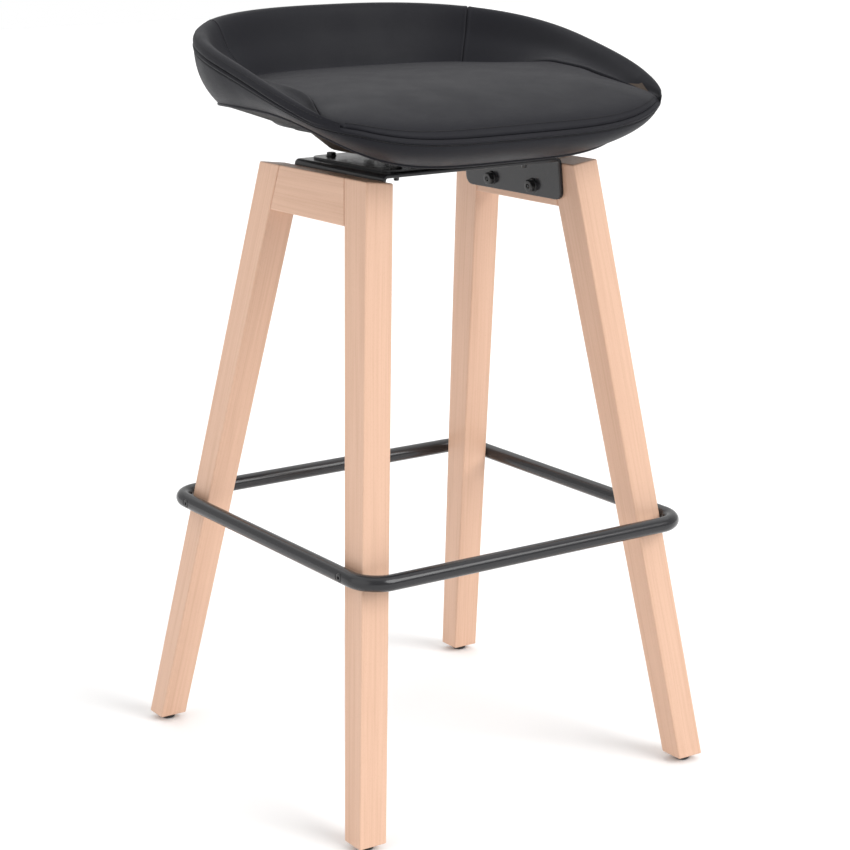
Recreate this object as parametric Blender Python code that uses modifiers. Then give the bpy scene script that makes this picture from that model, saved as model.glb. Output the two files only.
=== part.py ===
"""Swivel bar stool: two splayed beech frames, a steel foot ring, a steel bracket with a ball-race
swivel, and an upholstered low-back bucket seat. Metres, +Z up, the floor at z = 0, the swivel axis
on the Z axis. The frames run along Y and the sitter faces -Y."""

import math

import bmesh
import bpy
import numpy as np
from mathutils import Matrix, Vector

# Gaps
GAP = 0.0003
BOLT_CLEARANCE = 0.0003

# Wooden frames
LEG_TOP_Z = 0.707
GLIDE_HEIGHT = 0.007
SPREAD_TOP = 0.1575
SPREAD_FOOT = 0.247
LEG_THICKNESS = 0.035
LEG_OUT_TOP = 0.107
LEG_OUT_FOOT = 0.2355
LEG_WIDTH_TOP = 0.042
LEG_WIDTH_FOOT = 0.030
RAIL_HEIGHT = 0.051
WOOD_ROUNDING = 0.0016
DOWEL_RADIUS = 0.005
DOWEL_LENGTH = 0.040

# Levelling glides
GLIDE_RADIUS = 0.009
GLIDE_FLANGE = 0.0035
GLIDE_STEM_RADIUS = 0.004
GLIDE_STEM_LENGTH = 0.024
GLIDE_TRAVEL_IN = 0.002
INSERT_RADIUS = 0.006
INSERT_LENGTH = 0.016

# Foot ring
RING_Z = 0.296
TUBE_RADIUS = 0.0095
TUBE_WALL = 0.0015
RING_CORNER = 0.032
RING_STANDOFF = 0.0008
RING_SCREW_RADIUS = 0.003
RING_SCREW_HEAD_RADIUS = 0.005
RING_SCREW_HEAD_DEPTH = 0.003
RING_SCREW_BITE = 0.022

# Bracket
BRACKET_ABOVE_LEGS = 0.002
BRACKET_SHEET = 0.004
BRACKET_HALF_DEPTH = 0.088
BRACKET_BEND = 0.006
FLANGE_DROP = 0.048
FLANGE_CORNER = 0.010
FLANGE_BOLT_Y = 0.038
FLANGE_BOLT_DROP = 0.036
BOLT_RADIUS = 0.004
BOLT_HEAD_RADIUS = 0.0075
BOLT_HEAD_HEIGHT = 0.0053
WASHER_RADIUS = 0.008
WASHER_SHEET = 0.0015
BOLT_BITE = 0.014

# Swivel
PLATE_SHEET = 0.0025
LOWER_PLATE_HALF = (0.108, 0.080)
LOWER_BOLT = (0.088, 0.064)
UPPER_PLATE_HALF = (0.070, 0.070)
UPPER_BOLT = (0.055, 0.036)
PLATE_CORNER = 0.014
RACE_RADIUS = 0.046
BALL_RADIUS = 0.003
BALL_COUNT = 8
RACE_CLEARANCE = 0.0004
PIVOT_RADIUS = 0.008
PIVOT_HEAD_RADIUS = 0.013
PIVOT_HEAD_HEIGHT = 0.0025
PLATE_BOLT_RADIUS = 0.003
PLATE_BOLT_HEAD_RADIUS = 0.0058
PLATE_BOLT_HEAD_HEIGHT = 0.004
NUT_RADIUS = 0.0045
NUT_FLANGE_RADIUS = 0.009
NUT_FLANGE_SHEET = 0.0012

# Seat
SEAT_HALF_WIDTH = 0.252
SEAT_HALF_DEPTH = 0.199
SEAT_CENTRE_Y = 0.023
FRONT_SQUARENESS = 4.1
BACK_SQUARENESS = 2.5
RIM_FRONT_HEIGHT = 0.0321
RIM_RISE = 0.116
RIM_RISE_POWER = 0.52
RIM_RISE_EASE = 0.03
BOTTOM_SHARE_FRONT = 0.823
BOTTOM_SHARE_SIDE = 0.900
BOTTOM_SHARE_BACK = 0.824
BOTTOM_HEIGHT_FRONT = -0.0021
BOTTOM_HEIGHT_SIDE = 0.0556
BOTTOM_HEIGHT_BACK = 0.0336
BOTTOM_FRONT_POWER = 1.5
BOTTOM_BACK_POWER = 2.0
WALL_BULGE = 2.76
COVER_SHEET = 0.0025
SHELL_SHEET = 0.008
SHELL_RIM_DROP = 0.48
BOTTOM_COVER_SHEET = 0.0015
BOTTOM_COVER_HOLE = 0.66
FLAT_SHARE = 0.45
FLAT_EASE = 0.7
PAD_JOIN_SHARE = 0.80
CUSHION_FRONT_SHARE = 0.93
CUSHION_HEIGHT = 0.0786
CUSHION_EDGE_HEIGHT = (0.0356, 0.0696, 0.0786)
PAD_TOP_SHARE = 0.93
PAD_FIRST = math.radians(-21)
SEAT_STEPS = 36
PAD_CLEARANCE = 0.0035


def clear_scene():
    for obj in list(bpy.data.objects):
        bpy.data.objects.remove(obj, do_unlink=True)


def new_collection(name):
    collection = bpy.data.collections.new(name)
    bpy.context.scene.collection.children.link(collection)
    return collection


clear_scene()
PARTS = new_collection("swivel_bar_stool")
CUTTERS = new_collection("cutters")
CUTTERS.hide_render = True


# Materials


def material(name, color, roughness, metallic=0.0):
    made = bpy.data.materials.new(name)
    made.use_nodes = True
    shader = made.node_tree.nodes["Principled BSDF"]
    shader.inputs["Base Color"].default_value = (*color, 1.0)
    shader.inputs["Roughness"].default_value = roughness
    shader.inputs["Metallic"].default_value = metallic
    return made


BEECH = material("beech", (0.72, 0.47, 0.31), 0.45)
DOWEL_WOOD = material("dowel_wood", (0.62, 0.42, 0.28), 0.6)
BLACK_STEEL = material("black_steel", (0.012, 0.012, 0.014), 0.28, 0.3)
ZINC = material("zinc", (0.55, 0.56, 0.58), 0.35, 1.0)
BALL_STEEL = material("ball_steel", (0.65, 0.66, 0.68), 0.15, 1.0)
BLACK_PLASTIC = material("black_plastic", (0.015, 0.015, 0.016), 0.5)
PLYWOOD = material("plywood", (0.55, 0.38, 0.22), 0.6)
FOAM = material("foam", (0.75, 0.72, 0.60), 0.95)
BLACK_LEATHER = material("black_leather", (0.02, 0.02, 0.024), 0.45)
BLACK_CLOTH = material("black_cloth", (0.01, 0.01, 0.011), 0.9)


# Shared makers


def place(name, mesh, finish, collection=None):
    obj = bpy.data.objects.new(name, mesh)
    (collection or PARTS).objects.link(obj)
    if finish:
        mesh.materials.append(finish)
    return obj


def mesh_from(name, build):
    """A new mesh filled by build(bm)."""
    mesh = bpy.data.meshes.new(name)
    bm = bmesh.new()
    build(bm)
    bmesh.ops.recalc_face_normals(bm, faces=bm.faces)
    bm.to_mesh(mesh)
    bm.free()
    return mesh


def turned(name, profile, finish, steps=12):
    """A turned piece about its own Z axis: profile is (radius, height) from the top down."""

    def build(bm):
        points = [bm.verts.new((radius, 0.0, height)) for radius, height in profile]
        for a, b in zip(points, points[1:]):
            bm.edges.new((a, b))

    mesh = bpy.data.meshes.new(name)
    bm = bmesh.new()
    build(bm)
    bm.to_mesh(mesh)
    bm.free()
    obj = place(name, mesh, finish)
    spin = obj.modifiers.new("turn", "SCREW")
    spin.steps = steps
    spin.render_steps = steps
    spin.use_merge_vertices = True
    spin.merge_threshold = 0.00005
    return obj


def cut(target, cutter, name="cut"):
    boolean = target.modifiers.new(name, "BOOLEAN")
    boolean.operation = "DIFFERENCE"
    boolean.object = cutter
    return boolean


def hole(name, target, at, axis, radius, length, steps=12):
    """A round cutter centred at a point along an axis, taken out of the target."""

    def build(bm):
        bmesh.ops.create_cone(
            bm, cap_ends=True, segments=steps, radius1=radius, radius2=radius, depth=length
        )

    obj = place(name, mesh_from(name, build), None, CUTTERS)
    obj.location = at
    obj.rotation_euler = Vector(axis).to_track_quat("Z", "Y").to_euler()
    obj.hide_render = True
    obj.display_type = "WIRE"
    cut(target, obj, name)
    return obj


def aim(obj, at, axis):
    """Put a turned piece at a point with its Z axis along the given axis."""
    obj.location = at
    obj.rotation_euler = Vector(axis).to_track_quat("Z", "Y").to_euler()
    return obj


def soften(obj, width, segments=2):
    bevel = obj.modifiers.new("rounding", "BEVEL")
    bevel.width = width
    bevel.segments = segments
    bevel.limit_method = "ANGLE"
    bevel.angle_limit = math.radians(30)
    return bevel


# Frame geometry


def bracket_top_z():
    return LEG_TOP_Z + BRACKET_ABOVE_LEGS


def lean():
    """How far each frame leans inwards from the vertical, in radians."""
    return math.atan2(SPREAD_FOOT - SPREAD_TOP, LEG_TOP_Z - GLIDE_HEIGHT)


def outer_x(z):
    """Distance of a frame's outer face from the middle plane at height z."""
    share = (z - GLIDE_HEIGHT) / (LEG_TOP_Z - GLIDE_HEIGHT)
    return SPREAD_FOOT + (SPREAD_TOP - SPREAD_FOOT) * share


def inner_x(z):
    return outer_x(z) - LEG_THICKNESS / math.cos(lean())


def leg_out_y(z):
    share = (z - GLIDE_HEIGHT) / (LEG_TOP_Z - GLIDE_HEIGHT)
    return LEG_OUT_FOOT + (LEG_OUT_TOP - LEG_OUT_FOOT) * share


def leg_in_y(z):
    share = (z - GLIDE_HEIGHT) / (LEG_TOP_Z - GLIDE_HEIGHT)
    width = LEG_WIDTH_FOOT + (LEG_WIDTH_TOP - LEG_WIDTH_FOOT) * share
    return leg_out_y(z) - width


def top_inner():
    """(x, z) of the frame top's inner edge, square to the leaning face."""
    return (
        SPREAD_TOP - LEG_THICKNESS * math.cos(lean()),
        LEG_TOP_Z - LEG_THICKNESS * math.sin(lean()),
    )


def rail_bottom():
    """(x, z) of the rail's lower outer and inner edges."""
    drop_x = RAIL_HEIGHT * math.sin(lean())
    drop_z = RAIL_HEIGHT * math.cos(lean())
    inner = top_inner()
    return (
        (SPREAD_TOP + drop_x, LEG_TOP_Z - drop_z),
        (inner[0] + drop_x, inner[1] - drop_z),
    )


def block(name, corners, finish):
    """A cube whose eight corners are moved: corners[(x, y, z signs)] gives each place."""

    def build(bm):
        bmesh.ops.create_cube(bm, size=2.0)
        for vert in bm.verts:
            signs = tuple(int(round(value)) for value in vert.co)
            vert.co = corners[signs]

    return place(name, mesh_from(name, build), finish)


def leg(name, side, end):
    """A tapered leg: side is the frame (-1 left, +1 right), end is -1 front or +1 back."""
    foot = GLIDE_HEIGHT
    levels = {
        (1, 1): (SPREAD_TOP, LEG_TOP_Z),
        (-1, 1): top_inner(),
        (1, -1): (SPREAD_FOOT, foot),
        (-1, -1): (inner_x(foot), foot),
    }
    corners = {}
    for (out_x, up), (x, z) in levels.items():
        for out_y in (-1, 1):
            y = leg_out_y(z) if out_y > 0 else leg_in_y(z)
            corners[(side * out_x, end * out_y, up)] = (side * x, end * y, z)
    obj = block(name, corners, BEECH)
    soften(obj, WOOD_ROUNDING)
    return obj


def top_rail(name, side):
    """The rail between a frame's two legs, flush with their faces and tops."""
    low_outer, low_inner = rail_bottom()
    levels = {
        (1, 1): (SPREAD_TOP, LEG_TOP_Z),
        (-1, 1): top_inner(),
        (1, -1): low_outer,
        (-1, -1): low_inner,
    }
    corners = {}
    for (out_x, up), (x, z) in levels.items():
        for out_y in (-1, 1):
            corners[(side * out_x, out_y, up)] = (side * x, out_y * (leg_in_y(z) - GAP), z)
    obj = block(name, corners, BEECH)
    soften(obj, WOOD_ROUNDING)
    return obj


def dowel(name, side, end, leg_obj, rail_obj):
    """A dowel across the joint of a rail and a leg, at the rail's middle height."""
    low_outer, low_inner = rail_bottom()
    x = (SPREAD_TOP + top_inner()[0] + low_outer[0] + low_inner[0]) / 4
    z = (LEG_TOP_Z + top_inner()[1] + low_outer[1] + low_inner[1]) / 4
    at = (side * x, end * leg_in_y(z), z)
    half = DOWEL_LENGTH / 2
    chamfer = DOWEL_RADIUS / 4
    profile = (
        (0.0, half),
        (DOWEL_RADIUS - chamfer, half),
        (DOWEL_RADIUS, half - chamfer),
        (DOWEL_RADIUS, chamfer - half),
        (DOWEL_RADIUS - chamfer, -half),
        (0.0, -half),
    )
    aim(turned(name, profile, DOWEL_WOOD, 12), at, (0, 1, 0))
    for target in (leg_obj, rail_obj):
        bore = DOWEL_RADIUS + 2 * GAP
        hole(f"{name}_bore", target, at, (0, 1, 0), bore, DOWEL_LENGTH + 4 * GAP, 12)


# Levelling glides


def foot_centre(side, end):
    foot = GLIDE_HEIGHT
    x = (outer_x(foot) + inner_x(foot)) / 2
    y = (leg_out_y(foot) + leg_in_y(foot)) / 2
    return Vector((side * x, end * y, foot))


def leg_axis(side, end):
    """Unit vector up the middle of a leg."""
    top = Vector((side * (SPREAD_TOP + top_inner()[0]) / 2, 0, LEG_TOP_Z))
    top.y = end * (leg_out_y(LEG_TOP_Z) + leg_in_y(LEG_TOP_Z)) / 2
    return (top - foot_centre(side, end)).normalized()


def levelling_glide(name, side, end, leg_obj):
    """A domed pad on a threaded stem, and the bore that it screws into."""
    at = foot_centre(side, end)
    pad_top = GLIDE_HEIGHT - GLIDE_TRAVEL_IN
    rim = pad_top - GLIDE_FLANGE / 2
    profile = (
        (0.0, pad_top + GLIDE_STEM_LENGTH),
        (GLIDE_STEM_RADIUS * 0.8, pad_top + GLIDE_STEM_LENGTH),
        (GLIDE_STEM_RADIUS, pad_top + GLIDE_STEM_LENGTH - 0.001),
        (GLIDE_STEM_RADIUS, pad_top),
        (GLIDE_RADIUS * 0.88, pad_top),
        (GLIDE_RADIUS, rim),
        (GLIDE_RADIUS * 0.86, rim / 3),
        (GLIDE_RADIUS * 0.62, 0.0),
        (0.0, 0.0),
    )
    glide = turned(name, profile, BLACK_PLASTIC, 16)
    glide.location = (at.x, at.y, 0.0)
    bore = GLIDE_STEM_RADIUS + BOLT_CLEARANCE
    depth = 2 * (GLIDE_STEM_LENGTH + 0.002)
    centre = (at.x, at.y, GLIDE_HEIGHT)
    insert = threaded_insert(f"glide_insert_{name[16:]}", centre, (0, 0, 1), bore)
    room = INSERT_RADIUS + GAP
    hole(f"{name}_seat", leg_obj, centre, (0, 0, 1), room, 2 * (INSERT_LENGTH + 2 * GAP), 12)
    hole(f"{name}_bore", leg_obj, centre, (0, 0, 1), bore, depth, 12)
    return glide, insert


def threaded_insert(name, mouth, axis, bore):
    """A steel sleeve let into wood: its mouth is at a point and it runs along the axis."""
    lip = 2 * GAP
    profile = (
        (bore, INSERT_LENGTH),
        (INSERT_RADIUS, INSERT_LENGTH),
        (INSERT_RADIUS, lip),
        (bore, lip),
        (bore, INSERT_LENGTH),
    )
    return aim(turned(name, profile, ZINC, 12), mouth, axis)


# Foot ring


def ring_half():
    """Half sizes of the ring's centre line in X and Y: beside the legs, and round their corners."""
    touch = TUBE_RADIUS / math.cos(lean()) + RING_STANDOFF
    inside = RING_CORNER - TUBE_RADIUS - GAP - WOOD_ROUNDING
    across = RING_CORNER - touch - WOOD_ROUNDING
    along = math.sqrt(max(inside**2 - across**2, 0.0))
    reach = RING_CORNER - along - WOOD_ROUNDING
    return outer_x(RING_Z) + touch, leg_out_y(RING_Z) + reach


def rounded_path(half_x, half_y, corner, steps):
    """Points round a rectangle with arcs at its corners."""
    points = []
    for quarter in range(4):
        turn = quarter * math.pi / 2
        sign_x = 1 if quarter in (0, 3) else -1
        sign_y = 1 if quarter in (0, 1) else -1
        centre = Vector((sign_x * (half_x - corner), sign_y * (half_y - corner)))
        for step in range(steps + 1):
            angle = turn + step * math.pi / 2 / steps
            points.append(centre + corner * Vector((math.cos(angle), math.sin(angle))))
    return points


def tube_mesh(name, radius, resolution):
    """A closed rounded-rectangle tube as a mesh in the foot ring's plane."""
    half_x, half_y = ring_half()
    path = rounded_path(half_x, half_y, RING_CORNER, 6)
    data = bpy.data.curves.new(name, "CURVE")
    data.dimensions = "3D"
    data.bevel_depth = radius
    data.bevel_resolution = resolution
    spline = data.splines.new("POLY")
    spline.points.add(len(path) - 1)
    for point, place_at in zip(spline.points, path):
        point.co = (place_at.x, place_at.y, RING_Z, 1.0)
    spline.use_cyclic_u = True
    guide = bpy.data.objects.new(name, data)
    CUTTERS.objects.link(guide)
    bpy.context.view_layer.update()
    graph = bpy.context.evaluated_depsgraph_get()
    mesh = bpy.data.meshes.new_from_object(guide.evaluated_get(graph))
    bpy.data.objects.remove(guide, do_unlink=True)
    bm = bmesh.new()
    bm.from_mesh(mesh)
    bmesh.ops.remove_doubles(bm, verts=bm.verts, dist=0.00001)
    bmesh.ops.recalc_face_normals(bm, faces=bm.faces)
    bm.to_mesh(mesh)
    bm.free()
    return mesh


def foot_ring():
    ring = place("foot_ring", tube_mesh("foot_ring", TUBE_RADIUS, 3), BLACK_STEEL)
    hollow = tube_mesh("foot_ring_hollow", TUBE_RADIUS - TUBE_WALL, 2)
    core = place("foot_ring_hollow", hollow, None, CUTTERS)
    core.hide_render = True
    core.display_type = "WIRE"
    cut(ring, core, "hollow")
    return ring


def ring_screw(name, side, end, ring, leg_obj):
    """A countersunk socket screw through the tube's middle into the leg."""
    half_x = ring_half()[0]
    y = end * (leg_out_y(RING_Z) + leg_in_y(RING_Z)) / 2
    out = Vector((side, 0, 0))
    head_top = half_x + TUBE_RADIUS - 2 * GAP
    at = Vector((side * head_top, y, RING_Z))
    depth = head_top - outer_x(RING_Z) + RING_SCREW_BITE
    socket = 0.0016
    neck = RING_SCREW_HEAD_DEPTH
    profile = (
        (0.0, -socket),
        (socket, -socket),
        (socket, 0.0),
        (RING_SCREW_HEAD_RADIUS, 0.0),
        (RING_SCREW_HEAD_RADIUS, -neck),
        (RING_SCREW_RADIUS, -neck),
        (RING_SCREW_RADIUS, 0.003 - depth),
        (0.0, -depth),
    )
    aim(turned(name, profile, BLACK_STEEL, 12), at, out)
    clear = RING_SCREW_RADIUS + BOLT_CLEARANCE
    hole(f"{name}_hole", ring, at, out, clear, 0.06, 12)
    head = RING_SCREW_HEAD_RADIUS + BOLT_CLEARANCE
    hole(f"{name}_sink", ring, at, out, head, 2 * (neck + GAP), 12)
    hole(f"{name}_pilot", leg_obj, at, out, clear, 2 * (depth + GAP), 12)


# Bracket


def flange_line(drop):
    """(x, z) on the inner faces of the frames, a gap off them, at a drop below the bend."""
    start = top_inner()
    x = start[0] - GAP / math.cos(lean())
    z = bracket_top_z() - drop * math.cos(lean())
    return x + (start[1] - z) * math.tan(lean()), z


def bracket_outline():
    """The outer line of the bracket's half section, from the flange's foot to the middle."""
    foot_x, foot_z = flange_line(FLANGE_DROP)
    bend_x, _ = flange_line(0.0)
    opening = math.pi / 2 - lean()
    reach = BRACKET_BEND * math.tan(opening / 2)
    centre = Vector((bend_x - reach, bracket_top_z() - BRACKET_BEND))
    points = [Vector((foot_x, foot_z))]
    steps = 4
    for step in range(steps + 1):
        angle = lean() + (math.pi / 2 - lean()) * step / steps
        points.append(centre + BRACKET_BEND * Vector((math.cos(angle), math.sin(angle))))
    return points


def base_bracket():
    """A folded steel channel that spans the frames, its flanges against the rails."""
    half = bracket_outline()
    line = [Vector((-p.x, p.y)) for p in half] + list(reversed(half))

    def build(bm):
        front = [bm.verts.new((p.x, -BRACKET_HALF_DEPTH, p.y)) for p in line]
        edges = [bm.edges.new(pair) for pair in zip(front, front[1:])]
        swept = bmesh.ops.extrude_edge_only(bm, edges=edges)["geom"]
        back = [item for item in swept if isinstance(item, bmesh.types.BMVert)]
        bmesh.ops.translate(bm, verts=back, vec=(0, 2 * BRACKET_HALF_DEPTH, 0))
        foot_z = half[0].y + GAP
        feet = [vert for vert in bm.verts if vert.co.z < foot_z]
        bmesh.ops.bevel(
            bm, geom=feet, offset=FLANGE_CORNER, segments=3, profile=0.5, affect="VERTICES"
        )

    mesh = mesh_from("base_bracket", build)
    bracket = place("base_bracket", mesh, BLACK_STEEL)
    if mean_up(mesh) < 0:
        mesh.flip_normals()
    wall = bracket.modifiers.new("sheet", "SOLIDIFY")
    wall.thickness = BRACKET_SHEET
    wall.offset = -1.0
    return bracket


def mean_up(mesh):
    """Sum of the upward part of the faces' normals, to tell which way a sheet faces."""
    return sum(face.normal.z * face.area for face in mesh.polygons)


def hex_bolt(name, seat_at, out, radius, head_radius, head_height, length, finish):
    """A hexagon bolt: its head stands on seat_at and points out, its shank runs inwards."""

    def build(bm):
        head = bmesh.ops.create_cone(
            bm,
            cap_ends=True,
            segments=6,
            radius1=head_radius,
            radius2=head_radius,
            depth=head_height,
            matrix=Matrix.Translation((0, 0, head_height / 2)),
        )["verts"]
        ring = [edge for edge in bm.edges if all(v.co.z > head_height / 2 for v in edge.verts)]
        bmesh.ops.bevel(bm, geom=ring, offset=head_height / 6, segments=1, affect="EDGES")
        del head

    obj = place(name, mesh_from(name, build), finish)
    aim(obj, seat_at, out)
    overlap = head_height / 2

    def shank_build(bm):
        bmesh.ops.create_cone(
            bm,
            cap_ends=True,
            segments=12,
            radius1=radius * 0.8,
            radius2=radius,
            depth=length + overlap,
            matrix=Matrix.Translation((0, 0, (overlap - length) / 2)),
        )

    shank = place(f"{name}_shank", mesh_from(f"{name}_shank", shank_build), None, CUTTERS)
    aim(shank, seat_at, out)
    shank.hide_render = True
    shank.display_type = "WIRE"
    union = obj.modifiers.new("shank", "BOOLEAN")
    union.operation = "UNION"
    union.object = shank
    return obj


def bracket_bolt(number, side, end, bracket, rail_obj):
    """A hexagon bolt and washer through a flange into the insert in a rail."""
    x, z = flange_line(FLANGE_BOLT_DROP)
    inwards = Vector((-side * math.cos(lean()), 0, -math.sin(lean())))
    outwards = -inwards
    face = Vector((side * x, end * FLANGE_BOLT_Y, z))
    washer_seat = face + inwards * (BRACKET_SHEET + GAP)
    washer = turned(
        f"bracket_washer_{number}",
        (
            (BOLT_RADIUS + BOLT_CLEARANCE, WASHER_SHEET),
            (WASHER_RADIUS, WASHER_SHEET),
            (WASHER_RADIUS, 0.0),
            (BOLT_RADIUS + BOLT_CLEARANCE, 0.0),
            (BOLT_RADIUS + BOLT_CLEARANCE, WASHER_SHEET),
        ),
        BLACK_STEEL,
        16,
    )
    aim(washer, washer_seat, inwards)
    head_seat = washer_seat + inwards * (WASHER_SHEET + GAP)
    length = BOLT_BITE + BRACKET_SHEET + WASHER_SHEET + 3 * GAP
    hex_bolt(
        f"bracket_bolt_{number}",
        head_seat,
        inwards,
        BOLT_RADIUS,
        BOLT_HEAD_RADIUS,
        BOLT_HEAD_HEIGHT,
        length,
        BLACK_STEEL,
    )
    bore = BOLT_RADIUS + BOLT_CLEARANCE
    mouth = face + outwards * GAP
    threaded_insert(f"rail_insert_{number}", mouth, outwards, bore)
    hole(f"flange_hole_{number}", bracket, face, outwards, bore, 4 * BRACKET_SHEET, 12)
    room = INSERT_RADIUS + GAP
    depth = 2 * (INSERT_LENGTH + 3 * GAP)
    hole(f"rail_seat_{number}", rail_obj, mouth, outwards, room, depth, 12)


# Swivel


def seat_base_z():
    """Height of the seat's flat underside, which lies on the upper plate."""
    return swivel_heights()[3]


def swivel_heights():
    """Heights of the lower plate, the balls' centres, the upper plate and the seat's underside."""
    lower = bracket_top_z() + GAP
    ball = lower + PLATE_SHEET + RACE_CLEARANCE + BALL_RADIUS
    upper = ball + BALL_RADIUS + RACE_CLEARANCE
    return lower, ball, upper, upper + PLATE_SHEET + GAP


def plate(name, half, z, finish):
    """A flat pressed plate with rounded corners, its underside at z."""
    path = rounded_path(half[0], half[1], PLATE_CORNER, 4)
    data = bpy.data.curves.new(name, "CURVE")
    data.dimensions = "2D"
    data.fill_mode = "BOTH"
    data.extrude = PLATE_SHEET / 2
    spline = data.splines.new("POLY")
    spline.points.add(len(path) - 1)
    for point, place_at in zip(spline.points, path):
        point.co = (place_at.x, place_at.y, 0.0, 1.0)
    spline.use_cyclic_u = True
    guide = bpy.data.objects.new(f"{name}_guide", data)
    CUTTERS.objects.link(guide)
    bpy.context.view_layer.update()
    graph = bpy.context.evaluated_depsgraph_get()
    mesh = bpy.data.meshes.new_from_object(guide.evaluated_get(graph))
    bpy.data.objects.remove(guide, do_unlink=True)
    bm = bmesh.new()
    bm.from_mesh(mesh)
    bmesh.ops.remove_doubles(bm, verts=bm.verts, dist=0.00001)
    bmesh.ops.recalc_face_normals(bm, faces=bm.faces)
    bm.to_mesh(mesh)
    bm.free()
    obj = place(name, mesh, finish)
    obj.location.z = z + PLATE_SHEET / 2
    return obj


def ball_cage(z):
    """The ring that holds the balls apart, with the balls in it, made one solid."""
    half = BALL_RADIUS * 0.4
    profile = (
        (RACE_RADIUS - 0.005, half),
        (RACE_RADIUS + 0.005, half),
        (RACE_RADIUS + 0.005, -half),
        (RACE_RADIUS - 0.005, -half),
        (RACE_RADIUS - 0.005, half),
    )
    cage = turned("ball_cage", profile, BALL_STEEL, 36)
    cage.location.z = z
    for number in range(BALL_COUNT):
        angle = 2 * math.pi * number / BALL_COUNT

        def build(bm):
            bmesh.ops.create_uvsphere(bm, u_segments=8, v_segments=5, radius=BALL_RADIUS)

        ball = place(f"ball_{number}", mesh_from(f"ball_{number}", build), None, CUTTERS)
        ball.location = (RACE_RADIUS * math.cos(angle), RACE_RADIUS * math.sin(angle), z)
        ball.hide_render = True
        ball.display_type = "WIRE"
        union = cage.modifiers.new(f"ball_{number}", "BOOLEAN")
        union.operation = "UNION"
        union.object = ball
    return cage


def swivel(bracket, shell):
    lower_z, ball_z, upper_z, _ = swivel_heights()
    lower = plate("swivel_lower_plate", LOWER_PLATE_HALF, lower_z, BLACK_STEEL)
    upper = plate("swivel_upper_plate", UPPER_PLATE_HALF, upper_z, BLACK_STEEL)
    ball_cage(ball_z)
    top = upper_z + PLATE_SHEET + GAP
    under = lower_z - GAP
    profile = (
        (0.0, top + PIVOT_HEAD_HEIGHT),
        (PIVOT_HEAD_RADIUS * 0.85, top + PIVOT_HEAD_HEIGHT),
        (PIVOT_HEAD_RADIUS, top + PIVOT_HEAD_HEIGHT * 0.6),
        (PIVOT_HEAD_RADIUS, top),
        (PIVOT_RADIUS, top),
        (PIVOT_RADIUS, under),
        (PIVOT_HEAD_RADIUS, under),
        (PIVOT_HEAD_RADIUS, under - PIVOT_HEAD_HEIGHT * 0.6),
        (PIVOT_HEAD_RADIUS * 0.85, under - PIVOT_HEAD_HEIGHT),
        (0.0, under - PIVOT_HEAD_HEIGHT),
    )
    turned("pivot_rivet", profile, ZINC, 20)
    sink = PIVOT_HEAD_RADIUS + 3 * GAP
    hole("lower_pivot_hole", lower, (0, 0, lower_z), (0, 0, 1), PIVOT_RADIUS + GAP, 0.02, 20)
    hole("upper_pivot_hole", upper, (0, 0, upper_z), (0, 0, 1), PIVOT_RADIUS + GAP, 0.02, 20)
    hole("bracket_pivot_hole", bracket, (0, 0, lower_z), (0, 0, 1), sink, 0.04, 20)
    hole("shell_pivot_hole", shell, (0, 0, top), (0, 0, 1), sink, 0.04, 20)
    return lower, upper


def tee_nut(name, seat_at, bore):
    """A flanged nut whose barrel hangs down into the shell from its inner face."""
    profile = (
        (bore, NUT_FLANGE_SHEET),
        (NUT_FLANGE_RADIUS, NUT_FLANGE_SHEET),
        (NUT_FLANGE_RADIUS, 0.0),
        (NUT_RADIUS, 0.0),
        (NUT_RADIUS, 2 * GAP - SHELL_SHEET),
        (bore, 2 * GAP - SHELL_SHEET),
        (bore, NUT_FLANGE_SHEET),
    )
    nut = turned(name, profile, ZINC, 12)
    nut.location = seat_at
    return nut


def plate_bolts(lower, upper, bracket, shell):
    """Hexagon bolts down through the lower plate, and up through the upper plate into the shell."""
    lower_z, _, upper_z, seat_z = swivel_heights()
    bore = PLATE_BOLT_RADIUS + BOLT_CLEARANCE
    corners = ((-1, -1), (1, -1), (-1, 1), (1, 1))
    for number, (sx, sy) in enumerate(corners, 1):
        x, y = sx * LOWER_BOLT[0], sy * LOWER_BOLT[1]
        seat_at = (x, y, lower_z + PLATE_SHEET + GAP)
        hex_bolt(
            f"swivel_bolt_{number}",
            seat_at,
            (0, 0, 1),
            PLATE_BOLT_RADIUS,
            PLATE_BOLT_HEAD_RADIUS,
            PLATE_BOLT_HEAD_HEIGHT,
            0.014,
            BLACK_STEEL,
        )
        for target in (lower, bracket):
            hole(f"lower_hole_{number}", target, (x, y, lower_z), (0, 0, 1), bore, 0.03, 12)
        x, y = sx * UPPER_BOLT[0], sy * UPPER_BOLT[1]
        head_seat = (x, y, upper_z - GAP)
        hex_bolt(
            f"seat_bolt_{number}",
            head_seat,
            (0, 0, -1),
            PLATE_BOLT_RADIUS,
            PLATE_BOLT_HEAD_RADIUS,
            PLATE_BOLT_HEAD_HEIGHT * 0.6,
            PLATE_SHEET + SHELL_SHEET,
            BLACK_STEEL,
        )
        hole(f"upper_hole_{number}", upper, (x, y, upper_z), (0, 0, 1), bore, 0.02, 12)
        shell_top = seat_z + SHELL_SHEET
        hole(f"shell_hole_{number}", shell, (x, y, seat_z), (0, 0, 1), NUT_RADIUS + GAP, 0.04, 12)
        tee_nut(f"tee_nut_{number}", (x, y, shell_top + GAP), bore)


# Seat surfaces


def signed_power(value, power):
    return np.sign(value) * np.maximum(np.abs(value), 1e-9) ** power


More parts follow.
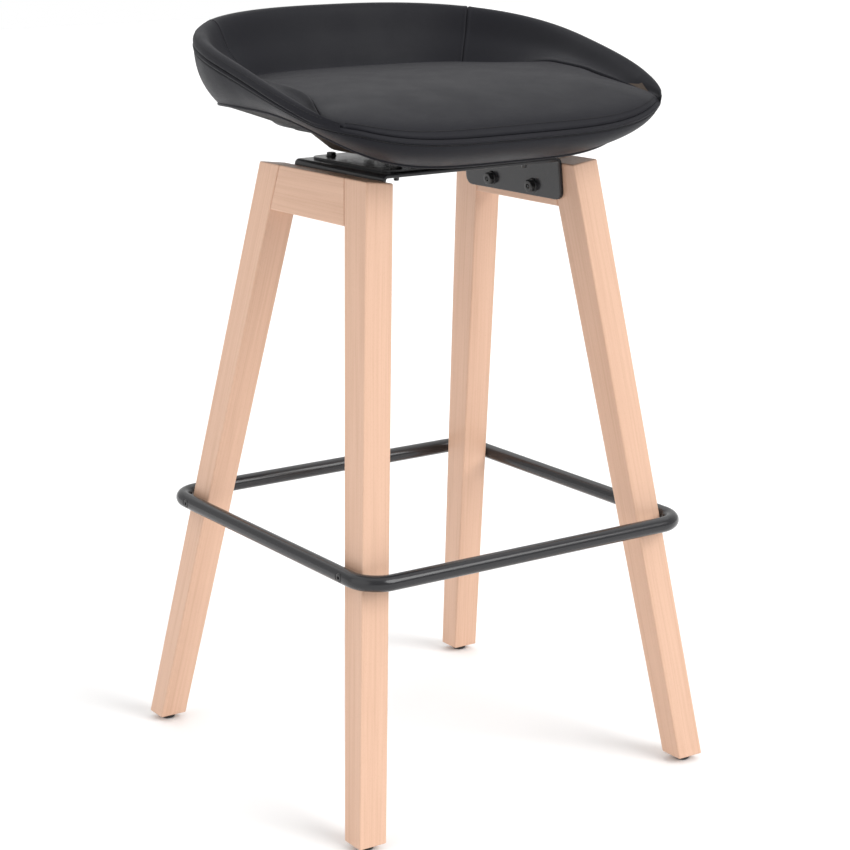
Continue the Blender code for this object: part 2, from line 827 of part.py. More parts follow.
def plan(angle, inset):
    """Superellipse outline of the rim, squarer at the front, drawn in by an inset."""
    cos, sin = np.cos(angle), np.sin(angle)
    square = np.where(sin >= 0, BACK_SQUARENESS, FRONT_SQUARENESS)
    x = (SEAT_HALF_WIDTH - inset) * signed_power(cos, 2 / square)
    y = (SEAT_HALF_DEPTH - inset) * signed_power(sin, 2 / square)
    return x, y


def rim_z(y):
    """Height of the rim: low along the front, rising fast round the corners, then gently."""
    share = np.clip((y + SEAT_HALF_DEPTH) / (2 * SEAT_HALF_DEPTH), 0, 1)
    low = RIM_RISE_EASE**RIM_RISE_POWER
    high = (1 + RIM_RISE_EASE) ** RIM_RISE_POWER
    front = seat_base_z() + RIM_FRONT_HEIGHT
    return front + RIM_RISE * ((share + RIM_RISE_EASE) ** RIM_RISE_POWER - low) / (high - low)


def around(angle, front, side, back):
    """A value that goes smoothly from front to side to back round the seat."""
    sin = np.sin(angle)
    forward = (front - side) * np.abs(sin) ** BOTTOM_FRONT_POWER
    return side + np.where(sin >= 0, (back - side) * np.abs(sin) ** BOTTOM_BACK_POWER, forward)


def bottom_share(angle):
    """How wide the bottom edge is, as a share of the rim's outline."""
    return around(angle, BOTTOM_SHARE_FRONT, BOTTOM_SHARE_SIDE, BOTTOM_SHARE_BACK)


def bottom_z(angle):
    """Height of the bottom edge."""
    heights = (BOTTOM_HEIGHT_FRONT, BOTTOM_HEIGHT_SIDE, BOTTOM_HEIGHT_BACK)
    return seat_base_z() + around(angle, *heights)


def wall_point(angle, down, inset):
    """A point on the seat's outside, from the rim (down = 0) to the bottom edge (down = 1)."""
    x, y = plan(angle, inset)
    bottom = bottom_z(angle) + inset
    share = bottom_share(angle)
    scale = 1 - (1 - share) * down**WALL_BULGE
    top = rim_z(plan(angle, 0)[1])
    return np.stack([x * scale, y * scale + SEAT_CENTRE_Y, top + (bottom - top) * down], -1)


def cushion_top_z():
    return seat_base_z() + CUSHION_HEIGHT


def dish(out):
    """How far the underside has gone from its flat middle (0) to its bottom edge (1)."""
    return np.clip((out - FLAT_SHARE) / (1 - FLAT_SHARE), 0, 1) ** FLAT_EASE


def floor_point(angle, out, inset, middle):
    """A point on the seat's underside, from its flat middle (out = 0) to the bottom edge."""
    x, y = plan(angle, inset)
    bottom = bottom_z(angle) + inset
    share = bottom_share(angle)
    z = middle + (bottom - middle) * dish(out)
    return np.stack([x * share * out, y * share * out + SEAT_CENTRE_Y, z], -1)


def ring_angles():
    return np.arange(SEAT_STEPS) * 2 * math.pi / SEAT_STEPS


def surface(name, rings, finish, pole=None, pole_first=None):
    """A mesh from closed rings of points, with an optional pole point at either end."""

    def build(bm):
        rows = [[bm.verts.new(point) for point in ring] for ring in rings]
        count = len(rows[0])
        for upper, lower in zip(rows, rows[1:]):
            for i in range(count):
                j = (i + 1) % count
                bm.faces.new((upper[i], upper[j], lower[j], lower[i]))
        for end, row in ((pole_first, rows[0]), (pole, rows[-1])):
            if end is not None:
                tip = bm.verts.new(end)
                for i in range(count):
                    bm.faces.new((row[i], row[(i + 1) % count], tip))

    obj = place(name, mesh_from(name, build), finish)
    return obj


def sheet(obj, thickness):
    """Give an open seat surface its wall, towards the inside of the seat."""
    wall = obj.modifiers.new("wall", "SOLIDIFY")
    wall.thickness = thickness
    wall.offset = -1.0
    return wall


def face_outwards(obj):
    """Turn a sheet so that its faces point away from the middle of the seat."""
    middle = Vector((0, SEAT_CENTRE_Y, cushion_top_z()))
    way = sum((f.center - middle).dot(f.normal) * f.area for f in obj.data.polygons)
    if way < 0:
        obj.data.flip_normals()


def outer_cover():
    angle = ring_angles()
    rings = [wall_point(angle, down, 0.0) for down in (0.0, 0.2, 0.4, 0.6, 0.8, 0.92, 1.0)]
    cover = surface("outer_cover", rings, BLACK_LEATHER)
    face_outwards(cover)
    sheet(cover, COVER_SHEET)
    return cover


def bottom_cover():
    angle = ring_angles()
    middle = swivel_heights()[3] - BOTTOM_COVER_SHEET - GAP
    shares = (0.955, 0.85, 0.75, BOTTOM_COVER_HOLE)
    rings = [floor_point(angle, share, 0.0, middle) for share in shares]
    cover = surface("bottom_cover", rings, BLACK_CLOTH)
    face_outwards(cover)
    sheet(cover, BOTTOM_COVER_SHEET)
    return cover


def shell_inset():
    return 1.6 * COVER_SHEET + 3 * GAP


def seat_shell():
    """The moulded shell inside the upholstery, closed at the bottom."""
    angle = ring_angles()
    inset = shell_inset()
    middle = swivel_heights()[3]
    rings = [wall_point(angle, down, inset) for down in (SHELL_RIM_DROP, 0.6, 0.8, 1.0)]
    shares = (0.955, 0.85, 0.75, BOTTOM_COVER_HOLE, 0.55, FLAT_SHARE)
    rings += [floor_point(angle, share, inset, middle) for share in shares]
    pole = floor_point(np.zeros(1), 0.0, inset, middle)[0]
    shell = surface("seat_shell", rings, PLYWOOD, pole=pole)
    face_outwards(shell)
    sheet(shell, SHELL_SHEET)
    return shell


def pad_inset():
    return shell_inset() + 1.6 * SHELL_SHEET + 6 * GAP


def join_share(angle):
    """Where the cushion ends and the back pad starts, as a share of the rim's outline."""
    forward = np.clip((-np.sin(angle) - 0.45) / 0.4, 0, 1)
    ease = forward * forward * (3 - 2 * forward)
    return PAD_JOIN_SHARE + (CUSHION_FRONT_SHARE - PAD_JOIN_SHARE) * ease


def cushion_edge_z(angle):
    return seat_base_z() + around(angle, *CUSHION_EDGE_HEIGHT)


def inside_point(angle, share, z):
    x, y = plan(angle, 0.0)
    return np.stack([x * share, y * share + SEAT_CENTRE_Y, np.broadcast_to(z, x.shape)], -1)


def shell_top_at(angle, share):
    """Height of the shell's inner face, plus a gap, at a share of the rim's outline."""
    inset = pad_inset()
    bottom = bottom_share(angle)
    edge = bottom_z(angle) + inset
    middle = swivel_heights()[3] + SHELL_SHEET + NUT_FLANGE_SHEET
    rim = rim_z(plan(angle, 0)[1])
    flat = middle + (edge - middle) * dish(share / bottom)
    draw = np.clip((1 - share * 1.09) / (1 - bottom), 0, 1) ** (1 / WALL_BULGE)
    wall = rim + (edge - rim) * draw
    return np.where(share <= 0.93 * bottom, flat, np.maximum(flat, wall)) + PAD_CLEARANCE


def seat_cushion():
    """The cushion: a crowned pad whose underside lies in the shell."""
    angle = ring_angles()
    edge = join_share(angle) - 0.004
    top_z = cushion_edge_z(angle)
    rings = []
    for share in (0.25, 0.5, 0.75, 0.92, 0.985):
        crown = top_z + (cushion_top_z() - top_z) * (1 - share**2.4)
        rings.append(inside_point(angle, edge * share, crown))
    under = shell_top_at(angle, edge * 0.94)
    rings.append(inside_point(angle, edge, (top_z + under) / 2))
    rings.append(inside_point(angle, edge * 0.94, under))
    for share in (0.8, 0.7, 0.6, 0.35):
        rings.append(inside_point(angle, edge * share, shell_top_at(angle, edge * share)))
    top = (0.0, SEAT_CENTRE_Y, cushion_top_z())
    bottom = (0.0, SEAT_CENTRE_Y, shell_top_at(np.zeros(1), np.zeros(1))[0])
    return surface("seat_cushion", rings, FOAM, pole=bottom, pole_first=top)


def back_pad():
    """The pad that wraps the back and arms: a closed section carried round the rim."""
    angle = ring_angles()
    angle = np.sort((angle + math.pi / 2) % (2 * math.pi)) - math.pi / 2
    angle = angle[(angle > PAD_FIRST) & (angle < math.pi - PAD_FIRST)]
    rim = rim_z(plan(angle, 0)[1])
    join = join_share(angle) + 0.006
    low = np.maximum(cushion_edge_z(angle) - 0.012, shell_top_at(angle, join) + 2 * PAD_CLEARANCE)
    tall = rim - low
    inset = shell_inset() - GAP
    over = SHELL_RIM_DROP * 0.4
    columns = [
        wall_point(angle, 0.02, inset),
        wall_point(angle, over, inset),
        wall_point(angle, over, pad_inset()),
        wall_point(angle, SHELL_RIM_DROP * 0.55, pad_inset()),
        inside_point(angle, join, low),
        inside_point(angle, join, low + 0.25 * tall),
        inside_point(angle, (join + PAD_TOP_SHARE) / 2 - 0.01, (low + rim) / 2),
        inside_point(angle, PAD_TOP_SHARE - 0.015, rim - GAP),
        inside_point(angle, PAD_TOP_SHARE + 0.02, rim + 0.001),
    ]

    def build(bm):
        rows = [[bm.verts.new(point) for point in section] for section in zip(*columns)]
        size = len(columns)
        for near, far in zip(rows, rows[1:]):
            for i in range(size):
                j = (i + 1) % size
                bm.faces.new((near[i], near[j], far[j], far[i]))
        bm.faces.new(rows[0])
        bm.faces.new(list(reversed(rows[-1])))

    return place("back_pad", mesh_from("back_pad", build), FOAM)


# Assembly


def add_frames():
    legs, rails = {}, {}
    for side, side_name in ((-1, "left"), (1, "right")):
        rails[side] = top_rail(f"top_rail_{side_name}", side)
        for end, end_name in ((-1, "front"), (1, "back")):
            place_name = f"{end_name}_{side_name}"
            made = leg(f"leg_{place_name}", side, end)
            legs[side, end] = made
            dowel(f"dowel_{place_name}", side, end, made, rails[side])
            levelling_glide(f"levelling_glide_{place_name}", side, end, made)
    return legs, rails


def main():
    legs, rails = add_frames()
    ring = foot_ring()
    bracket = base_bracket()
    for number, (side, end) in enumerate(legs, 1):
        ring_screw(f"ring_screw_{number}", side, end, ring, legs[side, end])
        bracket_bolt(number, side, end, bracket, rails[side])
    shell = seat_shell()
    lower, upper = swivel(bracket, shell)
    plate_bolts(lower, upper, bracket, shell)
    outer_cover()
    bottom_cover()
    seat_cushion()
    back_pad()


main()
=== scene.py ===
"""Swivel bar stool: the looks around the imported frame.

Metres, +Z up, the swivel axis on the Z axis, the sitter facing -Y. Every new piece is a surface worked
out from formulas that follow the frame's own sizes, and every carried-over node gets a finish.
"""

import math

import bpy
import numpy as np
from bpy.props import FloatProperty, FloatVectorProperty, IntProperty, PointerProperty
from mathutils import Matrix, Vector


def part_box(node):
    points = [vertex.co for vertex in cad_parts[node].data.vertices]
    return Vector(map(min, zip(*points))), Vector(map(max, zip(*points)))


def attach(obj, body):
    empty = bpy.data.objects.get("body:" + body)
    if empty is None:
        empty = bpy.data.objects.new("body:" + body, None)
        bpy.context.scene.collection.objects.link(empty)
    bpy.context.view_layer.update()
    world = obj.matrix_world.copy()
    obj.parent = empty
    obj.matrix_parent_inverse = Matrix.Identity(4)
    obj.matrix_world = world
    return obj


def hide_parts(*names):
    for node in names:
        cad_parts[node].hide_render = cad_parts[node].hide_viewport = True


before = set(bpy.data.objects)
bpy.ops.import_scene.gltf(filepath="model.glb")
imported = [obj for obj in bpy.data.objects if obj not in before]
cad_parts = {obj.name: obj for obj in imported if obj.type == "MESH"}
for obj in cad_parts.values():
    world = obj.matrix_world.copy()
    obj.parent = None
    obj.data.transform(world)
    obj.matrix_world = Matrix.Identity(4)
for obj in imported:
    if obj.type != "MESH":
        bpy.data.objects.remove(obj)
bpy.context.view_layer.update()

bl_info = {
    "name": "Swivel Bar Stool",
    "version": (1, 0, 0),
    "blender": (4, 5, 0),
    "location": "View3D > Sidebar > Bar Stool",
    "description": "Builds the upholstery, metalwork, wood and stage of a swivel bar stool",
    "category": "Add Mesh",
}

COVER_LOW, COVER_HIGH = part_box("outer_cover")
RING_LOW, RING_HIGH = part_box("foot_ring")
BRACKET_LOW, BRACKET_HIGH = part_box("base_bracket")
CORNERS = ("front_left", "back_left", "front_right", "back_right")


# Sizes and colours that a user would change


class StoolSizes(bpy.types.PropertyGroup):
    """Sizes of the upholstery and the metalwork."""

    seat_half_width: FloatProperty(
        name="Seat half width",
        description="Half of the seat's width at its rim",
        default=(COVER_HIGH[0] - COVER_LOW[0]) / 2,
        unit="LENGTH",
    )
    seat_half_depth: FloatProperty(
        name="Seat half depth",
        description="Half of the seat's depth at its rim",
        default=(COVER_HIGH[1] - COVER_LOW[1]) / 2,
        unit="LENGTH",
    )
    seat_centre_y: FloatProperty(
        name="Seat centre",
        description="How far the seat's middle lies behind the swivel axis",
        default=(COVER_HIGH[1] + COVER_LOW[1]) / 2,
        unit="LENGTH",
    )
    rim_front_z: FloatProperty(
        name="Front rim height",
        description="Height of the rim along the seat's front",
        default=0.7535,
        unit="LENGTH",
    )
    rim_back_z: FloatProperty(
        name="Back rim height",
        description="Height of the rim at the middle of the back",
        default=COVER_HIGH[2],
        unit="LENGTH",
    )
    crown_z: FloatProperty(
        name="Cushion crown",
        description="Height of the cushion's highest point",
        default=0.8035,
        unit="LENGTH",
    )
    stitch_pitch: FloatProperty(
        name="Stitch pitch",
        description="Distance from one stitch to the next",
        default=0.0042,
        unit="LENGTH",
    )
    tube_radius: FloatProperty(
        name="Ring tube radius",
        description="Outer radius of the foot ring's tube",
        default=(RING_HIGH[2] - RING_LOW[2]) / 2,
        unit="LENGTH",
    )
    swell_frames: IntProperty(
        name="Swelling steps",
        description="Frames for which the cushion is inflated",
        default=20,
        min=2,
        max=60,
    )


class StoolColours(bpy.types.PropertyGroup):
    """Colours of the stool's finishes."""

    wood_light: FloatVectorProperty(
        name="Light wood",
        description="Colour of the beech between its growth lines",
        subtype="COLOR",
        default=(0.70, 0.45, 0.32),
        min=0.0,
        max=1.0,
    )
    wood_dark: FloatVectorProperty(
        name="Dark wood",
        description="Colour of the beech's growth lines and flecks",
        subtype="COLOR",
        default=(0.47, 0.26, 0.16),
        min=0.0,
        max=1.0,
    )
    leather: FloatVectorProperty(
        name="Leathercloth",
        description="Colour of the seat's cover",
        subtype="COLOR",
        default=(0.0085, 0.0086, 0.0125),
        min=0.0,
        max=1.0,
    )
    steel: FloatVectorProperty(
        name="Powder coat",
        description="Colour of the painted steel",
        subtype="COLOR",
        default=(0.012, 0.012, 0.014),
        min=0.0,
        max=1.0,
    )
    floor: FloatVectorProperty(
        name="Floor",
        description="Colour of the stage's floor",
        subtype="COLOR",
        default=(0.93, 0.93, 0.93),
        min=0.0,
        max=1.0,
    )


def sizes():
    return bpy.context.scene.stool_sizes


def colours():
    return bpy.context.scene.stool_colours


# Mesh helpers


def make_piece(name, points, faces, finish, body):
    """An object from a point array and a face list, riding on a body, with its finish."""
    mesh = bpy.data.meshes.new(name)
    mesh.from_pydata(np.asarray(points, float).reshape(-1, 3).tolist(), [], faces)
    mesh.polygons.foreach_set("use_smooth", np.ones(len(mesh.polygons), bool))
    mesh.update()
    if mesh.validate():
        raise RuntimeError(f"{name}: the mesh had faults")
    obj = bpy.data.objects.new(name, mesh)
    bpy.context.scene.collection.objects.link(obj)
    mesh.materials.append(finish)
    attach(obj, body)
    return obj


def grid_faces(rows, columns, wrap_rows=False, wrap_columns=False, start=0):
    """Quads over a rows x columns grid of points, optionally joined end to end."""
    i = np.arange(rows if wrap_rows else rows - 1)
    j = np.arange(columns if wrap_columns else columns - 1)
    i, j = np.meshgrid(i, j, indexing="ij")
    after_i, after_j = (i + 1) % rows, (j + 1) % columns
    quads = np.stack(
        [
            i * columns + j,
            after_i * columns + j,
            after_i * columns + after_j,
            i * columns + after_j,
        ],
        -1,
    )
    return (quads.reshape(-1, 4) + start).tolist()


def cap_faces(ring, centre, flip=False):
    """Triangles from a closed ring of point numbers to a centre point."""
    pairs = zip(ring, ring[1:] + ring[:1])
    return [(b, a, centre) if flip else (a, b, centre) for a, b in pairs]


def face_away(obj, middle):
    """Turn the faces so that they point away from a middle point."""
    mesh = obj.data
    count = len(mesh.polygons)
    normals, centres, areas = np.empty(count * 3), np.empty(count * 3), np.empty(count)
    mesh.polygons.foreach_get("normal", normals)
    mesh.polygons.foreach_get("center", centres)
    mesh.polygons.foreach_get("area", areas)
    away = centres.reshape(-1, 3) - np.array(middle)
    if ((away * normals.reshape(-1, 3)).sum(-1) * areas).sum() < 0:
        mesh.flip_normals()
    return obj


def outwards(obj):
    """Turn a closed mesh so that its signed volume is positive."""
    mesh = obj.data
    mesh.calc_loop_triangles()
    corners = np.empty(len(mesh.loop_triangles) * 3, np.int32)
    mesh.loop_triangles.foreach_get("vertices", corners)
    points = np.empty(len(mesh.vertices) * 3)
    mesh.vertices.foreach_get("co", points)
    triangles = points.reshape(-1, 3)[corners.reshape(-1, 3)]
    if np.linalg.det(triangles).sum() < 0:
        mesh.flip_normals()
    return obj


def wall(obj, thickness):
    """Give an open sheet its thickness, behind the side that it shows."""
    solid = obj.modifiers.new("wall", "SOLIDIFY")
    solid.thickness = thickness
    solid.offset = -1.0
    return obj


def soften(obj, width, angle=30.0):
    bevel = obj.modifiers.new("edges", "BEVEL")
    bevel.width = width
    bevel.segments = 2
    bevel.limit_method = "ANGLE"
    bevel.angle_limit = math.radians(angle)
    return obj


def smooth_step(value):
    value = np.clip(value, 0.0, 1.0)
    return value * value * (3.0 - 2.0 * value)


def curve_through(controls, samples):
    """Catmull-Rom curve through control points: controls is (..., count, axes), and each span gives
    the same number of samples, as the cubic that matches both ends and half the chords beside them."""
    first = 2 * controls[..., :1, :] - controls[..., 1:2, :]
    last = 2 * controls[..., -1:, :] - controls[..., -2:-1, :]
    padded = np.concatenate([first, controls, last], -2)
    a, b, c, d = (padded[..., k : padded.shape[-2] - 3 + k, :] for k in range(4))
    t = (np.arange(samples) / samples)[:, None]
    spans = 0.5 * (
        2 * b[..., None, :]
        + (c - a)[..., None, :] * t
        + (2 * a - 5 * b + 4 * c - d)[..., None, :] * t**2
        + (3 * b - a - 3 * c + d)[..., None, :] * t**3
    )
    flat = spans.reshape(*spans.shape[:-3], -1, spans.shape[-1])
    return np.concatenate([flat, controls[..., -1:, :]], -2)


def surface_normals(points):
    """Unit normals of a grid of points, from the cross product of its two gradients."""
    along = np.gradient(points, axis=0)
    across = np.gradient(points, axis=1)
    normal = np.cross(along, across)
    return normal / np.maximum(np.linalg.norm(normal, axis=-1, keepdims=True), 1e-12)


def tube_points(path, radius, sides, closed=True):
    """Rings of points round a path: each ring lies across the path's tangent, kept upright."""
    if closed:
        tangent = np.roll(path, -1, 0) - np.roll(path, 1, 0)
    else:
        tangent = np.gradient(path, axis=0)
    tangent /= np.linalg.norm(tangent, axis=1, keepdims=True)
    side = np.cross(tangent, [0.0, 0.0, 1.0])
    side /= np.linalg.norm(side, axis=1, keepdims=True)
    up = np.cross(side, tangent)
    angle = np.arange(sides) * 2 * np.pi / sides
    cos, sin = np.cos(angle)[None, :, None], np.sin(angle)[None, :, None]
    return path[:, None] + radius * (cos * side[:, None] + sin * up[:, None])


def turned_points(profile, steps, place):
    """A profile of (radius, height) turned about its own axis, then put in place by a matrix."""
    profile = np.asarray(profile, float)
    angle = np.arange(steps) * 2 * np.pi / steps
    radius, height = profile[:, :1], profile[:, 1:]
    x, y = radius * np.cos(angle), radius * np.sin(angle)
    points = np.stack([x, y, np.broadcast_to(height, x.shape)], -1)
    return place_points(points, place)


def place_points(points, place):
    matrix = np.array(place)
    return points @ matrix[:3, :3].T + matrix[:3, 3]


def closed_turning(points):
    """Faces of a turned piece whose first and last rings are closed by a centre point each."""
    rings, steps = points.shape[:2]
    faces = grid_faces(rings, steps, wrap_columns=True)
    count = rings * steps
    faces += cap_faces(list(range(steps)), count, flip=True)
    faces += cap_faces(list(range(count - steps, count)), count + 1)
    centres = np.stack([points[0].mean(0), points[-1].mean(0)])
    return np.concatenate([points.reshape(-1, 3), centres]), faces


def frame_at(origin, axis):
    """A matrix that puts Z along an axis at a point."""
    turn = Vector(axis).to_track_quat("Z", "Y").to_matrix().to_4x4()
    return Matrix.Translation(Vector(origin)) @ turn


# Node groups


def node_group(name, inputs, outputs):
    group = bpy.data.node_groups.new(name, "ShaderNodeTree")
    for label, kind, default in inputs:
        socket = group.interface.new_socket(label, in_out="INPUT", socket_type=kind)
        if default is not None:
            socket.default_value = default
    for label, kind in outputs:
        group.interface.new_socket(label, in_out="OUTPUT", socket_type=kind)
    start = group.nodes.new("NodeGroupInput")
    end = group.nodes.new("NodeGroupOutput")
    return group, start, end


def add(tree, kind, **settings):
    """A node with its properties, and its inputs where the name is an input's."""
    node = tree.nodes.new(kind)
    for key, value in settings.items():
        label = key.replace("_", " ").title()
        if hasattr(node, key):
            setattr(node, key, value)
        else:
            node.inputs[label].default_value = value
    return node


def link(tree, source, target):
    tree.links.new(source, target)


def ramp(tree, source, stops):
    """A colour ramp over a factor; stops are (position, grey)."""
    node = tree.nodes.new("ShaderNodeValToRGB")
    elements = node.color_ramp.elements
    while len(elements) < len(stops):
        elements.new(0.5)
    for element, (position, grey) in zip(elements, stops):
        element.position = position
        element.color = (grey, grey, grey, 1.0)
    link(tree, source, node.inputs[0])
    return node.outputs["Color"]


def mix_colours(tree, factor, first, second, blend="MIX"):
    """Mixes two colours, either of which may be a socket or a constant."""
    node = tree.nodes.new("ShaderNodeMix")
    node.data_type = "RGBA"
    node.blend_type = blend
    for socket, value in zip((node.inputs[0], node.inputs[6], node.inputs[7]), (factor, first, second)):
        if hasattr(value, "links"):
            link(tree, value, socket)
        elif socket == node.inputs[0]:
            socket.default_value = value
        else:
            socket.default_value = (*value[:3], 1.0)
    return node.outputs[2]


def math_node(tree, operation, first, second=0.0):
    node = tree.nodes.new("ShaderNodeMath")
    node.operation = operation
    for socket, value in zip(node.inputs, (first, second)):
        if hasattr(value, "links"):
            link(tree, value, socket)
        else:
            socket.default_value = value
    return node.outputs[0]


def make_wood_group():
    """Beech figure: long soft streaks and thin growth lines along Z, and short dark ray flecks."""
    group, start, end = node_group(
        "wood_figure",
        [("Vector", "NodeSocketVector", None), ("Scale", "NodeSocketFloat", 1.0)],
        [("Figure", "NodeSocketFloat"), ("Flecks", "NodeSocketFloat"), ("Height", "NodeSocketFloat")],
    )
    scaled = add(group, "ShaderNodeVectorMath", operation="SCALE")
    link(group, start.outputs["Vector"], scaled.inputs[0])
    link(group, start.outputs["Scale"], scaled.inputs["Scale"])

    def stretched(factors):
        node = add(group, "ShaderNodeVectorMath", operation="MULTIPLY")
        link(group, scaled.outputs[0], node.inputs[0])
        node.inputs[1].default_value = factors
        return node.outputs[0]

    warp = add(group, "ShaderNodeTexNoise", scale=1.0, detail=2.0)
    link(group, stretched((9.0, 9.0, 2.2)), warp.inputs["Vector"])
    bend = add(group, "ShaderNodeVectorMath", operation="MULTIPLY_ADD")
    link(group, warp.outputs["Color"], bend.inputs[0])
    bend.inputs[1].default_value = (0.010, 0.010, 0.0)
    link(group, scaled.outputs[0], bend.inputs[2])
    lines_at = add(group, "ShaderNodeVectorMath", operation="MULTIPLY")
    link(group, bend.outputs[0], lines_at.inputs[0])
    lines_at.inputs[1].default_value = (420.0, 420.0, 5.0)
    lines = add(group, "ShaderNodeTexNoise", scale=1.0, detail=3.0, roughness=0.55)
    link(group, lines_at.outputs[0], lines.inputs["Vector"])
    streaks = add(group, "ShaderNodeTexNoise", scale=1.0, detail=2.0, roughness=0.5)
    link(group, stretched((60.0, 60.0, 1.6)), streaks.inputs["Vector"])
    flecks = add(group, "ShaderNodeTexVoronoi", feature="F1", scale=1.0, randomness=1.0)
    link(group, stretched((1300.0, 1300.0, 210.0)), flecks.inputs["Vector"])
    dashes = ramp(group, flecks.outputs["Distance"], [(0.0, 1.0), (0.16, 0.8), (0.26, 0.0)])
    pores = add(group, "ShaderNodeTexNoise", scale=1.0, detail=1.0)
    link(group, stretched((2600.0, 2600.0, 90.0)), pores.inputs["Vector"])
    narrow = ramp(group, lines.outputs["Fac"], [(0.38, 0.0), (0.52, 0.35), (0.68, 1.0)])
    broad = ramp(group, streaks.outputs["Fac"], [(0.30, 0.0), (0.70, 1.0)])
    fine, coarse = math_node(group, "MULTIPLY", narrow, 0.55), math_node(group, "MULTIPLY", broad, 0.45)
    total = math_node(group, "ADD", fine, coarse)
    link(group, total, end.inputs["Figure"])
    link(group, dashes, end.inputs["Flecks"])
    height = math_node(group, "SUBTRACT", pores.outputs["Fac"], math_node(group, "MULTIPLY", dashes, 0.5))
    link(group, height, end.inputs["Height"])
    return group


def make_pebble_group():
    """Leathercloth: small rounded pebbles between creases, over a slow unevenness."""
    group, start, end = node_group(
        "pebble_grain",
        [("Vector", "NodeSocketVector", None), ("Scale", "NodeSocketFloat", 1100.0)],
        [("Height", "NodeSocketFloat"), ("Crease", "NodeSocketFloat"), ("Cloud", "NodeSocketFloat")],
    )
    warp = add(group, "ShaderNodeTexNoise", scale=260.0, detail=2.0)
    link(group, start.outputs["Vector"], warp.inputs["Vector"])
    bend = add(group, "ShaderNodeVectorMath", operation="MULTIPLY_ADD")
    link(group, warp.outputs["Color"], bend.inputs[0])
    bend.inputs[1].default_value = (0.0012, 0.0012, 0.0012)
    link(group, start.outputs["Vector"], bend.inputs[2])
    cells = add(group, "ShaderNodeTexVoronoi", feature="DISTANCE_TO_EDGE")
    link(group, bend.outputs[0], cells.inputs["Vector"])
    link(group, start.outputs["Scale"], cells.inputs["Scale"])
    pebbles = ramp(group, cells.outputs["Distance"], [(0.0, 0.0), (0.10, 0.6), (0.35, 1.0)])
    slow = add(group, "ShaderNodeTexNoise", scale=26.0, detail=3.0, roughness=0.6)
    link(group, start.outputs["Vector"], slow.inputs["Vector"])
    link(group, pebbles, end.inputs["Height"])
    # The crease mask is what the leather finish uses for its painted shade in the creases.
    link(group, ramp(group, cells.outputs["Distance"], [(0.0, 1.0), (0.12, 0.0)]), end.inputs["Crease"])
    link(group, slow.outputs["Fac"], end.inputs["Cloud"])
    return group


def make_coat_group():
    """Powder coat or plating: a shallow orange peel, fine speckle and slow patches."""
    group, start, end = node_group(
        "coat_texture",
        [("Vector", "NodeSocketVector", None), ("Scale", "NodeSocketFloat", 600.0)],
        [("Height", "NodeSocketFloat"), ("Speckle", "NodeSocketFloat"), ("Patches", "NodeSocketFloat")],
    )
    peel = add(group, "ShaderNodeTexNoise", detail=2.0, roughness=0.5)
    link(group, start.outputs["Vector"], peel.inputs["Vector"])
    link(group, start.outputs["Scale"], peel.inputs["Scale"])
    fine = add(group, "ShaderNodeTexNoise", scale=3200.0, detail=1.0)
    link(group, start.outputs["Vector"], fine.inputs["Vector"])
    slow = add(group, "ShaderNodeTexNoise", scale=22.0, detail=3.0)
    link(group, start.outputs["Vector"], slow.inputs["Vector"])
    link(group, peel.outputs["Fac"], end.inputs["Height"])
    link(group, fine.outputs["Fac"], end.inputs["Speckle"])
    link(group, slow.outputs["Fac"], end.inputs["Patches"])
    return group


def make_weave_group():
    """Plain weave: two crossed sets of threads, each passing over and under the other."""
    group, start, end = node_group(
        "plain_weave",
        [("Vector", "NodeSocketVector", None), ("Scale", "NodeSocketFloat", 900.0)],
        [("Height", "NodeSocketFloat"), ("Shade", "NodeSocketFloat")],
    )
    waves = []
    for direction in ("X", "Y"):
        wave = add(group, "ShaderNodeTexWave", wave_type="BANDS", bands_direction=direction)
        link(group, start.outputs["Vector"], wave.inputs["Vector"])
        link(group, start.outputs["Scale"], wave.inputs["Scale"])
        waves.append(wave.outputs["Fac"])
    threads = math_node(group, "MAXIMUM", *waves)
    fuzz = add(group, "ShaderNodeTexNoise", scale=500.0, detail=2.0)
    link(group, start.outputs["Vector"], fuzz.inputs["Vector"])
    link(group, threads, end.inputs["Height"])
    link(group, math_node(group, "MULTIPLY", threads, fuzz.outputs["Fac"]), end.inputs["Shade"])
    return group


def shader_group(name):
    makers = {
        "wood_figure": make_wood_group,
        "pebble_grain": make_pebble_group,
        "coat_texture": make_coat_group,
        "plain_weave": make_weave_group,
    }
    return bpy.data.node_groups.get(name) or makers[name]()


# Materials


def new_finish(name, group_name, scale, turn=(0.0, 0.0, 0.0), shift=(0.0, 0.0, 0.0)):
    """A material with Object coordinates led through a mapping into a texture group."""
    material = bpy.data.materials.new(name)
    material.use_nodes = True
    tree = material.node_tree
    shader = tree.nodes["Principled BSDF"]
    place = add(tree, "ShaderNodeTexCoord")
    mapping = add(tree, "ShaderNodeMapping", vector_type="TEXTURE")
    mapping.inputs["Rotation"].default_value = turn
    mapping.inputs["Location"].default_value = shift
    link(tree, place.outputs["Object"], mapping.inputs["Vector"])
    texture = add(tree, "ShaderNodeGroup", node_tree=shader_group(group_name))
    texture.inputs["Scale"].default_value = scale
    link(tree, mapping.outputs[0], texture.inputs["Vector"])
    return material, tree, shader, texture


def bump(tree, shader, height, distance, strength=1.0):
    node = add(tree, "ShaderNodeBump")
    node.inputs["Strength"].default_value = strength
    node.inputs["Distance"].default_value = distance
    link(tree, height, node.inputs["Height"])
    link(tree, node.outputs[0], shader.inputs["Normal"])


def vary(tree, factor, low, high):
    """A value that runs from low to high as a factor goes from 0.3 to 0.7."""
    node = add(tree, "ShaderNodeMapRange")
    for label, value in (("From Min", 0.3), ("From Max", 0.7), ("To Min", low), ("To Max", high)):
        node.inputs[label].default_value = value
    link(tree, factor, node.inputs["Value"])
    return node.outputs[0]


